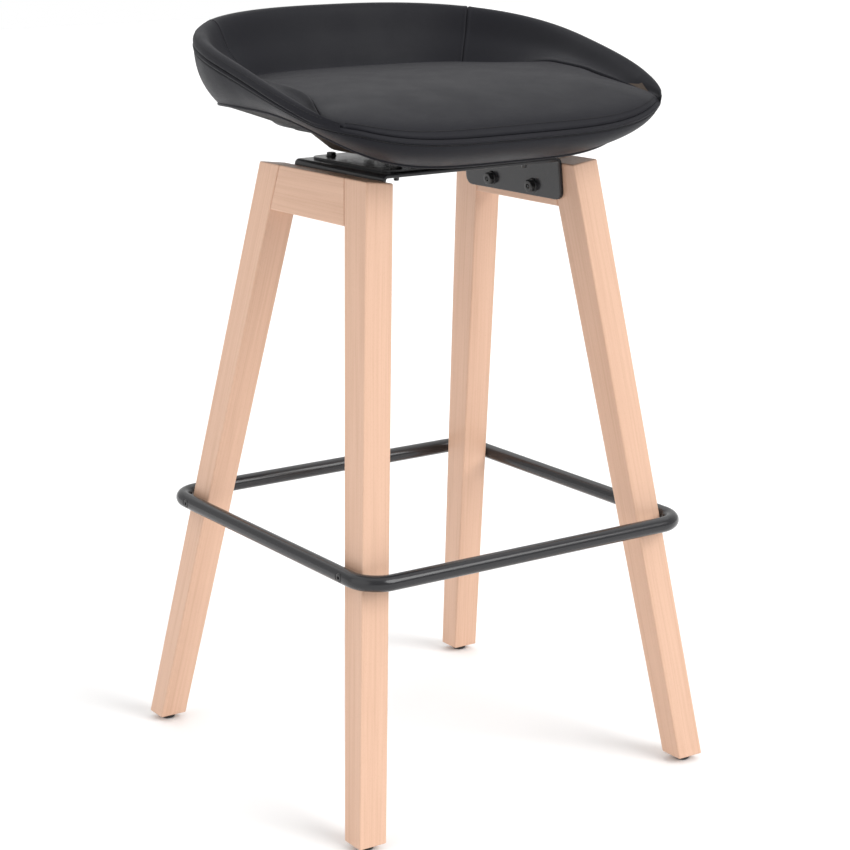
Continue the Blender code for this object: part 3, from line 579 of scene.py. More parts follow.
def wood_finish(name, turn, shift):
    """Lacquered beech with its grain along the mapping's Z axis."""
    material, tree, shader, figure = new_finish(name, "wood_figure", 1.0, turn, shift)
    light, dark = colours().wood_light, colours().wood_dark
    grain = mix_colours(tree, figure.outputs["Figure"], light, mix_toward(light, dark, 0.42))
    flecked = mix_colours(
        tree, math_node(tree, "MULTIPLY", figure.outputs["Flecks"], 0.34), grain, dark
    )
    link(tree, flecked, shader.inputs["Base Color"])
    link(tree, vary(tree, figure.outputs["Figure"], 0.40, 0.50), shader.inputs["Roughness"])
    shader.inputs["Coat Weight"].default_value = 0.12
    shader.inputs["Coat Roughness"].default_value = 0.25
    bump(tree, shader, figure.outputs["Height"], 0.00006, 0.5)
    return material


def mix_toward(first, second, share):
    return tuple(a + (b - a) * share for a, b in zip(first, second))


def leather_finish(name, colour, roughness=0.50, scale=1100.0, depth=0.00010):
    """Soft leathercloth: a fine pebble grain whose creases carry painted shade, darker and less shiny."""
    material, tree, shader, grain = new_finish(name, "pebble_grain", scale)
    lighter = mix_toward(colour, (0.10, 0.10, 0.108), 0.04)
    clouded = mix_colours(tree, grain.outputs["Cloud"], colour, lighter)
    # Painted shade: the grain's creases are darkened toward near black, as the shade between the pebbles.
    crease_shaded = mix_colours(
        tree, math_node(tree, "MULTIPLY", grain.outputs["Crease"], 0.45), clouded, (0.006, 0.006, 0.007)
    )
    link(tree, crease_shaded, shader.inputs["Base Color"])
    link(tree, vary(tree, grain.outputs["Cloud"], roughness - 0.04, roughness + 0.05), shader.inputs["Roughness"])
    shader.inputs["Specular IOR Level"].default_value = 0.14
    shader.inputs["Sheen Weight"].default_value = 0.03
    shader.inputs["Sheen Roughness"].default_value = 0.5
    bump(tree, shader, grain.outputs["Height"], depth, 0.6)
    return material


def coat_finish(name, colour, roughness, metallic=0.0, scale=600.0, depth=0.00004, coat=0.6):
    """Powder coat, plating or moulded plastic, by its numbers."""
    material, tree, shader, texture = new_finish(name, "coat_texture", scale)
    lighter = mix_toward(colour, (1.0, 1.0, 1.0), 0.02)
    link(tree, mix_colours(tree, texture.outputs["Speckle"], colour, lighter), shader.inputs["Base Color"])
    link(tree, vary(tree, texture.outputs["Patches"], roughness * 0.85, roughness * 1.2), shader.inputs["Roughness"])
    shader.inputs["Metallic"].default_value = metallic
    shader.inputs["Coat Weight"].default_value = coat
    shader.inputs["Coat Roughness"].default_value = 0.06
    shader.inputs["Specular IOR Level"].default_value = 0.3
    bump(tree, shader, texture.outputs["Height"], depth, 0.5)
    return material


def cloth_finish(name, colour, scale=900.0):
    material, tree, shader, weave = new_finish(name, "plain_weave", scale)
    link(
        tree,
        mix_colours(tree, weave.outputs["Shade"], colour, mix_toward(colour, (0.2, 0.2, 0.2), 0.3)),
        shader.inputs["Base Color"],
    )
    shader.inputs["Roughness"].default_value = 0.85
    bump(tree, shader, weave.outputs["Height"], 0.0002, 0.8)
    return material


def finish(name):
    """The finish of that name, made the first time that it is asked for."""
    found = bpy.data.materials.get(f"finish_{name}")
    if found:
        return found
    label = f"finish_{name}"
    leather, steel = tuple(colours().leather), tuple(colours().steel)
    if name == "leather":
        return leather_finish(label, leather)
    if name == "thread":
        return coat_finish(label, (0.004, 0.004, 0.005), 0.6, scale=2500.0, depth=0.0001, coat=0.0)
    if name == "steel":
        return coat_finish(label, steel, 0.22, coat=0.2)
    if name == "bolt":
        return coat_finish(label, (0.010, 0.010, 0.011), 0.33, scale=1400.0, coat=0.25)
    if name == "zinc":
        return coat_finish(label, (0.55, 0.56, 0.58), 0.35, 1.0, coat=0.0)
    if name == "bearing":
        return coat_finish(label, (0.65, 0.66, 0.68), 0.18, 1.0, coat=0.0)
    if name == "plastic":
        return coat_finish(label, (0.016, 0.016, 0.017), 0.42, scale=1200.0, coat=0.0)
    if name == "foam":
        return coat_finish(label, (0.02, 0.02, 0.022), 0.9, scale=900.0, depth=0.0004, coat=0.0)
    if name == "cloth":
        return cloth_finish(label, (0.018, 0.018, 0.019))
    raise RuntimeError(f"no finish is called {name}")


def refinish(node, material):
    """Put one finish on a carried-over node."""
    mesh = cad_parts[node].data
    mesh.materials.clear()
    mesh.materials.append(material)


# Seat shape

FRONT_SQUARENESS = 4.1
BACK_SQUARENESS = 2.5
RISE_POWER = 0.52
RISE_EASE = 0.03
BOTTOM_SHARE = (0.823, 0.900, 0.824)
BOTTOM_Z = (0.7193, 0.7770, 0.7550)
WALL_BULGE = 2.76
FLAT_SHARE = 0.45
FLAT_EASE = 0.7
BASE_Z = 0.7195
ARM_START = -44.0
ARM_SPREAD = 34.0
CUSHION_SHARE = 0.80
CREASE_Z = 0.797
SEAM_BELOW_RIM = 0.0095
BACK_SEAM = (47.5, 43.5)


def signed_power(value, power):
    return np.sign(value) * np.maximum(np.abs(value), 1e-9) ** power


def unit_outline(angle):
    """Superellipse of the rim: |x|^n + |y|^n = 1, with n larger at the front than at the back."""
    cos, sin = np.cos(angle), np.sin(angle)
    square = np.where(sin >= 0, BACK_SQUARENESS, FRONT_SQUARENESS)
    x = sizes().seat_half_width * signed_power(cos, 2 / square)
    y = sizes().seat_half_depth * signed_power(sin, 2 / square)
    return x, y


def rim_height(angle):
    """Height of the rim: the share of the way back, raised to a power below one."""
    y = unit_outline(angle)[1]
    depth = sizes().seat_half_depth
    share = np.clip((y + depth) / (2 * depth), 0, 1)
    low, high = RISE_EASE**RISE_POWER, (1 + RISE_EASE) ** RISE_POWER
    rise = sizes().rim_back_z - 0.0009 - sizes().rim_front_z
    return sizes().rim_front_z + rise * ((share + RISE_EASE) ** RISE_POWER - low) / (high - low)


def around(angle, values):
    """A value that goes from the side to the front or the back with a power of the angle's sine."""
    front, side, back = values
    sin = np.sin(angle)
    return side + np.where(sin >= 0, (back - side) * sin**2, (front - side) * np.abs(sin) ** 1.5)


def way_round(angle):
    """Degrees from the seat's side: -90 at the front, 0 at either side, +90 at the back."""
    return np.degrees(np.arctan2(np.sin(angle), np.abs(np.cos(angle))))


def arm_share(angle):
    """0 along the front, easing to 1 where the arms have their full width."""
    return smooth_step((way_round(angle) - ARM_START) / ARM_SPREAD)


def local_radius(angle):
    return np.hypot(*unit_outline(angle))


def seam_drop(angle):
    """How far the rim seam lies below the top of the rim."""
    return 0.0012 + (SEAM_BELOW_RIM - 0.0012) * smooth_step((way_round(angle) - ARM_START + 12) / 30)


def crease_share(angle):
    """Where the cushion ends, as a share of the rim's outline."""
    return 1 - 0.0015 / local_radius(angle) - (1 - CUSHION_SHARE) * arm_share(angle)


def crease_height(angle):
    front = rim_height(angle) - seam_drop(angle)
    rise = smooth_step((way_round(angle) - ARM_START) / (2 * ARM_SPREAD))
    return front + (CREASE_Z - front) * rise


def at_share(angle, share, height):
    x, y = unit_outline(angle)
    return np.stack(np.broadcast_arrays(x * share, y * share + sizes().seat_centre_y, height), -1)


def wall_point(angle, down, inset=0.0):
    """Outer wall from the rim (down 0) to the bottom edge (down 1): the outline shrinks with a
    power of the way down, while the height falls evenly."""
    share = around(angle, BOTTOM_SHARE)
    scale = 1 - (1 - share) * down**WALL_BULGE - inset / local_radius(angle)
    top, bottom = rim_height(angle), around(angle, BOTTOM_Z)
    return at_share(angle, scale, top + (bottom - top) * down)


def floor_point(angle, out):
    """Underside from its flat middle to the bottom edge, rising with a power of the way out."""
    dish = np.clip((out - FLAT_SHARE) / (1 - FLAT_SHARE), 0, 1) ** FLAT_EASE
    bottom = around(angle, BOTTOM_Z)
    return at_share(angle, around(angle, BOTTOM_SHARE) * out, BASE_Z + (bottom - BASE_Z) * dish)


def angles_round(count, extra=(), spread=0.03, fine=24, first=-math.pi, last=math.pi):
    """Angles round the seat, evenly along the rim, with more of them beside each extra angle."""
    dense = np.linspace(first, last, 4001)
    path = np.stack(unit_outline(dense), -1)
    run = np.concatenate([[0], np.cumsum(np.linalg.norm(np.diff(path, axis=0), axis=1))])
    even = np.interp(np.linspace(0, run[-1], count), run, dense)
    close = [centre + np.linspace(-spread, spread, fine) for centre in extra]
    return np.unique(np.concatenate([even, *close]).round(7))


def lining_section(angle, samples=7):
    """Arm and back lining at each angle: from its hem under the rim seam, over the rim's roll and
    down the inner face to its hem under the cushion. Returns the points (angles, samples, 3)."""
    radius = local_radius(angle)
    width = (1 - crease_share(angle)) * radius
    full = np.clip(width / 0.045, 0.02, 1)
    rim, drop = rim_height(angle), seam_drop(angle)
    low = crease_height(angle)
    face = rim - 0.016 * full
    inset_height = [
        (0.0060 * full, rim - drop - 0.0035),
        (0.0022 * full, rim - drop - 0.0012),
        (-0.0004 * full, rim - drop + 0.0010 * full),
        (0.0012 * full, rim - 0.35 * drop),
        (0.0075 * full, rim + 0.0012 * full),
        (0.0165 * full, rim - 0.0040 * full),
        (0.0165 * full + 0.34 * (width - 0.0165 * full), face + 0.28 * (low - face)),
        (0.0165 * full + 0.70 * (width - 0.0165 * full), face + 0.66 * (low - face)),
        (width - 0.0020 * full, low + 0.0030 * full),
        (width + 0.0006, low - 0.0015),
        (width + 0.0004, low - 0.0160 * full),
    ]
    controls = np.stack([np.stack(np.broadcast_arrays(*pair), -1) for pair in inset_height], -2)
    section = curve_through(controls, samples)
    share = 1 - section[..., 0] / radius[:, None]
    return at_share(angle[:, None], share, section[..., 1])


def square_rings(count):
    """A square grid bent into rings: the larger coordinate is the ring, and the way round the
    square's edge is the angle, so there is no pole. Returns (angle, ring) grids."""
    line = np.linspace(-1, 1, count)
    x, y = np.meshgrid(line, line, indexing="ij")
    ring = np.maximum(np.abs(x), np.abs(y))
    safe = np.where(ring > 0, ring, 1)
    sideways = np.abs(x) >= np.abs(y)
    across = np.where(sideways, y / safe, x / safe)
    base = np.where(sideways, np.where(x >= 0, 0.0, math.pi), np.where(y >= 0, math.pi / 2, -math.pi / 2))
    sign = np.where(sideways, np.sign(x), -np.sign(y))
    angle = base + sign * across * math.pi / 4
    return np.where(ring > 0, angle, -math.pi / 2), ring


def cushion_point(angle, ring, under=False):
    """Cushion from its middle (ring 0) to its edge (ring 1): the crown falls off as one minus a
    power of the ring, all to a power below one, so that the edge rolls over."""
    share = crease_share(angle) * ring
    edge = crease_height(angle)
    crown = np.maximum(sizes().crown_z, edge + 0.001)
    fall = (1 - ring**2.7) ** 0.62
    if under:
        edge_low = edge - 0.0012
        height = edge_low + (0.748 - edge_low) * smooth_step((1 - ring) / 0.25)
    else:
        height = edge + (crown - edge) * fall
    points = at_share(angle, share, height)
    points[..., 1] += 0.030 * (1 - ring**2)
    return points


# Pieces


def hem_edges(points, depth, reach):
    """Pull a grid's first columns inwards along its normals, as a seam pulls a cover's edge:
    the pull is a bell over the distance from the edge."""
    steps = np.linalg.norm(np.diff(points, axis=1), axis=-1)
    distance = np.concatenate([np.zeros((len(points), 1)), np.cumsum(steps, 1)], 1)
    return depth * np.exp(-((distance / reach) ** 2)), distance


def build_outer_cover():
    """The cover's outside, from under the rim seam down to the bottom edge, with its topstitch."""
    angle = angles_round(560)[:-1]
    grid = angle[:, None]
    height = rim_height(grid) - around(grid, BOTTOM_Z)
    start = seam_drop(grid) / height
    down = start + (1 - start) * (np.linspace(0, 1, 72) ** 1.35)[None, :]
    points = wall_point(grid, down)
    normal = surface_normals(points)
    if (normal[:, 5, :2] * points[:, 5, :2]).sum() < 0:
        normal = -normal
    pull, distance = hem_edges(points, 0.0026, 0.0020)
    stitch = 0.0010 * np.exp(-(((distance - 0.0062) / 0.0010) ** 2))
    puff = 0.0010 * np.exp(-(((distance - 0.0034) / 0.0022) ** 2))
    tuck = np.clip(1 - (1 - down) / 0.03, 0, 1) * 0.0015
    points = points + normal * (puff - pull - stitch - tuck)[..., None]
    hem = points[:, :1] - normal[:, :1] * 0.007
    hem[..., 2] -= 0.0015
    points = np.concatenate([hem, points], 1)
    faces = grid_faces(*points.shape[:2], wrap_rows=True)
    cover = make_piece("seat_outer_cover", points, faces, finish("leather"), "seat")
    face_away(cover, (0.0, sizes().seat_centre_y, 0.83))
    wall(cover, 0.0016)
    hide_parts("outer_cover")
    return cover


def build_lining():
    """The lining of the arms and the back, with the two upright seams behind the sitter."""
    limit = math.radians(ARM_START + 0.6)
    middle = math.radians(sum(BACK_SEAM) / 2)
    angle = angles_round(420, (middle, math.pi - middle), 0.065, 66, first=limit, last=math.pi - limit)
    points = lining_section(angle)
    normal = surface_normals(points)
    if (normal[len(angle) // 2, 40] @ np.array([0.0, -1.0, 0.3])) < 0:
        normal = -normal
    down = np.linspace(0, 1, points.shape[1])[None, :]
    seam = np.radians(BACK_SEAM[0] + (BACK_SEAM[1] - BACK_SEAM[0]) * down)
    away = np.minimum(np.abs(angle[:, None] - seam), np.abs(math.pi - angle[:, None] - seam))
    distance = away * local_radius(middle)
    groove = 0.0013 * np.exp(-((distance / 0.0008) ** 2))
    lift = 0.0003 * np.exp(-(((distance - 0.0035) / 0.0025) ** 2))
    points = points + normal * (lift - groove)[..., None]
    faces = grid_faces(*points.shape[:2])
    lining = make_piece("back_lining", points, faces, finish("leather"), "seat")
    face_towards_seat(lining)
    wall(lining, 0.0015)
    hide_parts("back_pad")
    return lining


def face_towards_seat(obj):
    """Turn a lining so that it faces the space above the cushion."""
    face_away(obj, (0.0, sizes().seat_centre_y, 0.83))
    obj.data.flip_normals()


def swell(obj, held, pressure, cap):
    """Inflate a closed pad with cloth for a few frames, holding some of its points, and keep no
    more than the capped move of each point."""
    mesh = obj.data
    count = len(mesh.vertices)
    before = np.empty(count * 3)
    mesh.vertices.foreach_get("co", before)
    group = obj.vertex_groups.new(name="held")
    group.add(np.flatnonzero(held).tolist(), 1.0, "REPLACE")
    cloth = obj.modifiers.new("swell", "CLOTH")
    cloth.settings.quality = 6
    cloth.settings.mass = 0.25
    cloth.settings.tension_stiffness = 25
    cloth.settings.compression_stiffness = 25
    cloth.settings.bending_stiffness = 1.5
    cloth.settings.use_pressure = True
    cloth.settings.uniform_pressure_force = pressure
    cloth.settings.effector_weights.gravity = 0.0
    cloth.settings.vertex_group_mass = "held"
    scene = bpy.context.scene
    for step in range(1, sizes().swell_frames + 1):
        scene.frame_set(step)
    graph = bpy.context.evaluated_depsgraph_get()
    after = np.empty(count * 3)
    obj.evaluated_get(graph).data.vertices.foreach_get("co", after)
    scene.frame_set(1)
    obj.modifiers.remove(cloth)
    obj.vertex_groups.remove(group)
    move = (after - before).reshape(-1, 3)
    size = np.linalg.norm(move, axis=1, keepdims=True)
    kept = before.reshape(-1, 3) + move * np.minimum(1, cap / np.maximum(size, 1e-9))
    mesh.vertices.foreach_set("co", kept.ravel())
    mesh.update()


def build_cushion():
    """The cushion as one closed pad, inflated between its held edge and its held underside."""
    count = 97
    angle, ring = square_rings(count)
    top = cushion_point(angle, ring)
    under = cushion_point(angle, ring, under=True)
    edge = (ring > 0.9999).ravel()
    inner = np.flatnonzero(~edge)
    number = np.arange(count * count)
    number[inner] = count * count + np.arange(len(inner))
    points = np.concatenate([top.reshape(-1, 3), under.reshape(-1, 3)[inner]])
    quads = np.array(grid_faces(count, count))
    faces = quads.tolist() + number[quads[:, ::-1]].tolist()
    cushion = make_piece("seat_cushion_cover", points, faces, finish("leather"), "seat")
    outwards(cushion)
    rings = np.concatenate([ring.ravel(), np.zeros(len(inner))])
    held = rings > 0.93
    held[count * count :] = True
    swell(cushion, held, 3.0, 0.006)
    finer = cushion.modifiers.new("finer", "SUBSURF")
    finer.levels = finer.render_levels = 1
    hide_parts("seat_cushion")
    return cushion


def build_bottom_panel():
    """The underside, stretched from the lip at the bottom edge to the swivel plate."""
    angle = angles_round(300)[:-1]
    out = np.linspace(0.985, 0.62, 40)
    points = floor_point(angle[:, None], out[None, :])
    ripple = 0.0005 * np.sin(angle * 23)[:, None] * np.sin(math.pi * (out - 0.62) / 0.365)[None, :]
    points[..., 2] += ripple
    faces = grid_faces(*points.shape[:2], wrap_rows=True)
    panel = make_piece("seat_bottom_panel", points, faces, finish("cloth"), "seat")
    face_away(panel, (0.0, sizes().seat_centre_y, 0.9))
    wall(panel, 0.0012)
    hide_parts("bottom_cover")
    return panel


def build_lip():
    """A rolled edge along the cover's bottom edge, as a tube carried round it."""
    angle = angles_round(480)[:-1]
    path = wall_point(angle, np.full(len(angle), 0.985), 0.0004)
    points = tube_points(path, 0.0021, 10)
    faces = grid_faces(*points.shape[:2], wrap_rows=True, wrap_columns=True)
    return outwards(make_piece("seat_bottom_lip", points, faces, finish("leather"), "seat"))


def stitch_row(name, path, away, length=0.0030, radius=0.00042):
    """Stitches along a path: each is a stretched ellipsoid whose ends dip into the cover."""
    run = np.concatenate([[0], np.cumsum(np.linalg.norm(np.diff(path, axis=0), axis=1))])
    count = int(run[-1] / sizes().stitch_pitch)
    at = (np.arange(count) + 0.5) * run[-1] / count
    centre = np.stack([np.interp(at, run, path[:, k]) for k in range(3)], -1)
    ahead = np.stack([np.interp(at + 0.001, run, path[:, k]) for k in range(3)], -1)
    up = np.stack([np.interp(at, run, away[:, k]) for k in range(3)], -1)
    tangent = ahead - centre
    tangent /= np.maximum(np.linalg.norm(tangent, axis=1, keepdims=True), 1e-9)
    side = np.cross(tangent, up)
    side /= np.linalg.norm(side, axis=1, keepdims=True)
    up = np.cross(side, tangent)
    rings, sides = 5, 6
    polar = np.linspace(0.35, math.pi - 0.35, rings)[:, None]
    azimuth = (np.arange(sides) * 2 * math.pi / sides)[None, :]
    local = np.stack(
        np.broadcast_arrays(
            np.cos(polar) * length / 2,
            np.sin(polar) * np.cos(azimuth) * radius,
            np.sin(polar) * np.sin(azimuth) * radius,
        ),
        -1,
    )
    points = (
        centre[:, None, None]
        + local[None, ..., :1] * tangent[:, None, None]
        + local[None, ..., 1:2] * side[:, None, None]
        + local[None, ..., 2:] * up[:, None, None]
    )
    each = np.array(grid_faces(rings, sides, wrap_columns=True))
    offsets = np.arange(count) * rings * sides
    faces = (offsets[:, None, None] + each[None]).reshape(-1, 4).tolist()
    first, last = list(range(sides)), list(range((rings - 1) * sides, rings * sides))
    for offset in offsets.tolist():
        faces.append([offset + k for k in reversed(first)])
        faces.append([offset + k for k in last])
    row = make_piece(name, points, faces, finish("thread"), "seat")
    return outwards(row)


def build_stitching():
    """Two topstitch rows beside the rim seam, one on the cover and one on the inside."""
    angle = angles_round(900)[:-1]
    angle = np.append(angle, angle[0] + 2 * math.pi)
    height = rim_height(angle) - around(angle, BOTTOM_Z)
    down = (seam_drop(angle) + 0.0062) / height
    below = wall_point(angle, down)
    outward = np.stack([*unit_outline(angle), np.zeros(len(angle))], -1)
    outward /= np.linalg.norm(outward, axis=1, keepdims=True)
    stitch_row("stitches_cover", below + outward * 0.0002, outward)
    arm = angle[way_round(angle) > ARM_START + 8]
    section = lining_section(arm)
    normal = surface_normals(section)
    column = 7 * 3 + 1
    lift = normal[:, column] * np.sign((normal[:, column] * outward[way_round(angle) > ARM_START + 8]).sum())
    order = np.argsort((arm + math.pi / 2) % (2 * math.pi))
    stitch_row("stitches_rim", (section[:, column] + lift * 0.0001)[order], lift[order])
    front = angles_round(300, first=math.radians(-180 - ARM_START + 1), last=math.radians(ARM_START - 1))
    ring = 1 - 0.0048 / local_radius(front)
    edge = cushion_point(front, ring)
    stitch_row("stitches_cushion", edge, np.tile([0.0, -0.5, 0.85], (len(front), 1)))


RING_BEND = 0.032


def ring_path():
    """The ring's middle line: a rectangle with round corners, with more points by each screw."""
    radius = sizes().tube_radius
    half_x = (RING_HIGH[0] - RING_LOW[0]) / 2 - radius
    half_y = (RING_HIGH[1] - RING_LOW[1]) / 2 - radius
    corner = RING_BEND
    height = (RING_HIGH[2] + RING_LOW[2]) / 2
    low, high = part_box("ring_screw_1")
    screw_y = abs(low[1] + high[1]) / 2
    close = np.linspace(-0.008, 0.008, 41)
    straight_y = np.concatenate(
        [np.linspace(corner - half_y, half_y - corner, 60), *(s * screw_y + close for s in (-1, 1))]
    )
    straight_y = np.unique(straight_y[np.abs(straight_y) < half_y - corner].round(6))
    straight_x = np.linspace(half_x - corner, corner - half_x, 60)
    turn = np.linspace(0, math.pi / 2, 18)[1:-1]
    quarter = np.stack([np.cos(turn), np.sin(turn)], -1) * corner
    right = np.stack([np.full(len(straight_y), half_x), straight_y], -1)
    top = np.stack([straight_x, np.full(60, half_y)], -1)
    centre = np.array([half_x - corner, half_y - corner])
    half = np.concatenate([right, centre + quarter, top, (centre + quarter)[::-1] * [-1, 1]])
    path = np.concatenate([half, -half])
    return np.column_stack([path, np.full(len(path), height)]), screw_y, half_x


def build_foot_ring():
    """The foot ring as a round tube, sunk to a flat seat round each screw: inside the head's
    radius a point moves in along X to the seat's depth."""
    path, screw_y, half_x = ring_path()
    radius = sizes().tube_radius
    points = tube_points(path, radius, 72)
    height = path[0, 2]
    across = np.hypot(np.abs(points[..., 1]) - screw_y, points[..., 2] - height)
    outer = np.abs(points[..., 0]) > half_x
    sink = 0.0055
    seat_x = half_x + radius - 0.0016
    lower = smooth_step((sink + 0.0003 - across) / 0.0006)
    limit = np.abs(points[..., 0]) * (1 - lower) + np.minimum(np.abs(points[..., 0]), seat_x) * lower
    points[..., 0] = np.where(outer & (across < sink + 0.001), np.sign(points[..., 0]) * limit, points[..., 0])
    faces = grid_faces(*points.shape[:2], wrap_rows=True, wrap_columns=True)
    ring = outwards(make_piece("foot_ring_tube", points, faces, finish("steel"), "base"))
    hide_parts("foot_ring")
    for number in range(1, 5):
        low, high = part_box(f"ring_screw_{number}")
        side = 1 if low[0] > 0 else -1
        middle_y = (low[1] + high[1]) / 2
        origin = (side * (seat_x + 0.0001), middle_y, height)
        head = build_socket_head(f"ring_screw_head_{number}", origin, (side, 0, 0))
        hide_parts(f"ring_screw_{number}")


def hexagon(angle, apothem):
    """Distance from the centre to a hexagon's edge in each direction."""
    return apothem / np.cos((angle % (math.pi / 3)) - math.pi / 6)


def build_socket_head(name, origin, axis):
    """A low round screw head with a hexagon socket: rings of points from the outer edge over the
    rounded rim, then down the socket's walls, whose outline is the hexagon."""
    steps = 48
    angle = np.arange(steps) * 2 * math.pi / steps
    rows = []
    for radius, height in ((0.0050, -0.0040), (0.0050, 0.0004), (0.0047, 0.0010), (0.0040, 0.0013), (0.0030, 0.0014)):
        rows.append(np.stack([radius * np.cos(angle), radius * np.sin(angle), np.full(steps, height)], -1))
    for apothem, height in ((0.0019, 0.0014), (0.00175, 0.0012), (0.0017, -0.0012)):
        radius = hexagon(angle, apothem)
        rows.append(np.stack([radius * np.cos(angle), radius * np.sin(angle), np.full(steps, height)], -1))
    points = place_points(np.array(rows), frame_at(origin, axis))
    points, faces = closed_turning(points)
    head = outwards(make_piece(name, points, faces, finish("bolt"), "base"))
    return soften(head, 0.00012, 50)


def build_hex_bolt(name, origin, axis, width, height, shank, length, body, washer=0.0):
    """A hexagon bolt: across each ring of its profile the radius is a circle's or the hexagon's,
    and the head's top is cut back by the chamfer where the hexagon passes the circle."""
    steps = 96
    angle = np.arange(steps) * 2 * math.pi / steps
    apothem = width / 2
    hexed = hexagon(angle, apothem)
    chamfer = np.maximum(hexed - apothem * 0.97, 0) * 0.55
    circle = np.full(steps, 1.0)
    rows = [
        (circle * apothem * 0.45, circle * height),
        (circle * apothem * 0.90, circle * height),
        (np.minimum(hexed, apothem * 0.97), circle * height - 0.0001),
        (hexed, height - chamfer - 0.0003),
        (hexed, circle * height * 0.5),
        (hexed, circle * (washer + 0.0003)),
        (hexed * 0.985, circle * washer),
    ]
    if washer:
        rows += [(circle * apothem * 1.18, circle * washer), (circle * apothem * 1.25, circle * washer * 0.6)]
        rows += [(circle * apothem * 1.25, circle * 0.0)]
    rows += [
        (circle * shank, circle * 0.0),
        (circle * shank, circle * (0.0008 - length)),
        (circle * shank * 0.8, circle * -length),
    ]
    rows = [(radius, np.broadcast_to(level, radius.shape)) for radius, level in rows]
    grid = np.array([np.stack([r * np.cos(angle), r * np.sin(angle), z], -1) for r, z in rows])
    points, faces = closed_turning(place_points(grid, frame_at(origin, axis)))
    bolt = outwards(make_piece(name, points, faces, finish("bolt"), body))
    return soften(bolt, 0.00025, 40)


def node_points(node):
    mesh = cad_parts[node].data
    points = np.empty(len(mesh.vertices) * 3)
    mesh.vertices.foreach_get("co", points)
    return points.reshape(-1, 3)


def build_bolts():
    """Bolts of the bracket and of the swivel, each in the place of its own node."""
    lean = bracket_lean()
    for number in range(1, 5):
        points = node_points(f"bracket_bolt_{number}")
        side = 1 if points[:, 0].mean() > 0 else -1
        inwards = np.array([-side * math.cos(lean), 0.0, -math.sin(lean)])
        along = points @ inwards
        head = points[along > along.max() - 0.0052].mean(0)
        washer = node_points(f"bracket_washer_{number}") @ inwards
        origin = head + inwards * (washer.min() - head @ inwards)
        origin[1] = (points[:, 1].min() + points[:, 1].max()) / 2
        height = along.max() - washer.min()
        bolt = build_hex_bolt(
            f"flange_bolt_{number}",
            origin,
            inwards,
            0.013,
            height,
            0.004,
            0.012,
            "base",
            washer.max() - washer.min(),
        )
        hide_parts(f"bracket_bolt_{number}", f"bracket_washer_{number}")
        low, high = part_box(f"swivel_bolt_{number}")
        top_of_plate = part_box("swivel_lower_plate")[1][2]
        origin = ((low[0] + high[0]) / 2, (low[1] + high[1]) / 2, top_of_plate)
        bolt = build_hex_bolt(
            f"plate_bolt_{number}",
            origin,
            (0, 0, 1),
            0.010,
            high[2] - top_of_plate,
            0.003,
            top_of_plate - low[2],
            "base",
            0.0008,
        )
        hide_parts(f"swivel_bolt_{number}")


def bracket_lean():
    """The frames' lean, read from the left rail: its outer face runs from top to foot."""
    points = node_points("leg_front_left")
    top, foot = points[points[:, 2] > 0.7], points[points[:, 2] < 0.02]
    return math.atan2(abs(foot[:, 0].min() - top[:, 0].min()), top[:, 2].max() - foot[:, 2].min())


def build_bracket():
    """The bracket as a folded sheet: its profile runs up one flange, round a bend, over the top
    and down the other, and the flange's corners are rounded by shortening its last rows."""
    lean = bracket_lean()
    high, low = BRACKET_HIGH[2], BRACKET_LOW[2]
    half_y = (BRACKET_HIGH[1] - BRACKET_LOW[1]) / 2
    foot_x = BRACKET_HIGH[0]
    sheet, bend, corner = 0.004, 0.006, 0.010
    bend_x = foot_x - (high - low) * math.tan(lean)
    opening = math.pi / 2 - lean
    centre = np.array([bend_x - bend * math.tan(opening / 2) - 0.0001, high - bend])
    arc = np.linspace(lean, math.pi / 2, 14)
    bent = centre + bend * np.stack([np.cos(arc), np.sin(arc)], -1)
    rise = np.concatenate([np.linspace(0, 0.25, 16), np.linspace(0.25, 1, 12)[1:-1]])[:, None]
    foot = np.array([foot_x - 0.0001, low])
    flange = foot + (bent[0] - foot) * rise
    across = np.linspace(bent[-1, 0], 0, 20)[1:]
    half = np.concatenate([flange, bent, np.stack([across, np.full(19, high)], -1)])
    profile = np.concatenate([half, (half * [-1, 1])[::-1][1:]])
    up = (profile[:, 1] - low) / math.cos(lean)
    short = corner - np.sqrt(np.maximum(corner**2 - np.maximum(corner - up, 0) ** 2, 0))
    v = np.linspace(-1, 1, 60)
    points = np.stack(
        np.broadcast_arrays(profile[:, None, 0], (half_y - short)[:, None] * v, profile[:, None, 1]), -1
    )
    faces = grid_faces(*points.shape[:2])
    bracket = make_piece("bracket_sheet", points, faces, finish("steel"), "base")
    face_away(bracket, (0.0, 0.0, low - 0.05))
    wall(bracket, sheet)
    soften(bracket, 0.0005, 50)
    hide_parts("base_bracket")
    return bracket


def build_glides():
    """Levelling glides: a domed pad turned on its stem."""
    for corner in CORNERS:
        node = f"levelling_glide_{corner}"
        low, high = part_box(node)
        x, y = (low[0] + high[0]) / 2, (low[1] + high[1]) / 2
        radius = (high[0] - low[0]) / 2
        profile = [
            (radius * 0.60, 0.0),
            (radius * 0.80, 0.0004),
            (radius * 0.95, 0.0014),
            (radius, 0.0028),
            (radius * 0.97, 0.0040),
            (radius * 0.80, 0.0049),
            (0.0046, 0.0050),
            (0.0040, 0.0052),
            (0.0040, high[2] - 0.001),
            (0.0030, high[2]),
        ]
        points = turned_points(profile, 48, Matrix.Translation((x, y, 0.0)))
        points, faces = closed_turning(points)
        glide = make_piece(
            f"glide_pad_{corner}", points, faces, finish("plastic"), f"glide_{corner}"
        )
        outwards(glide)
        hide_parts(node)


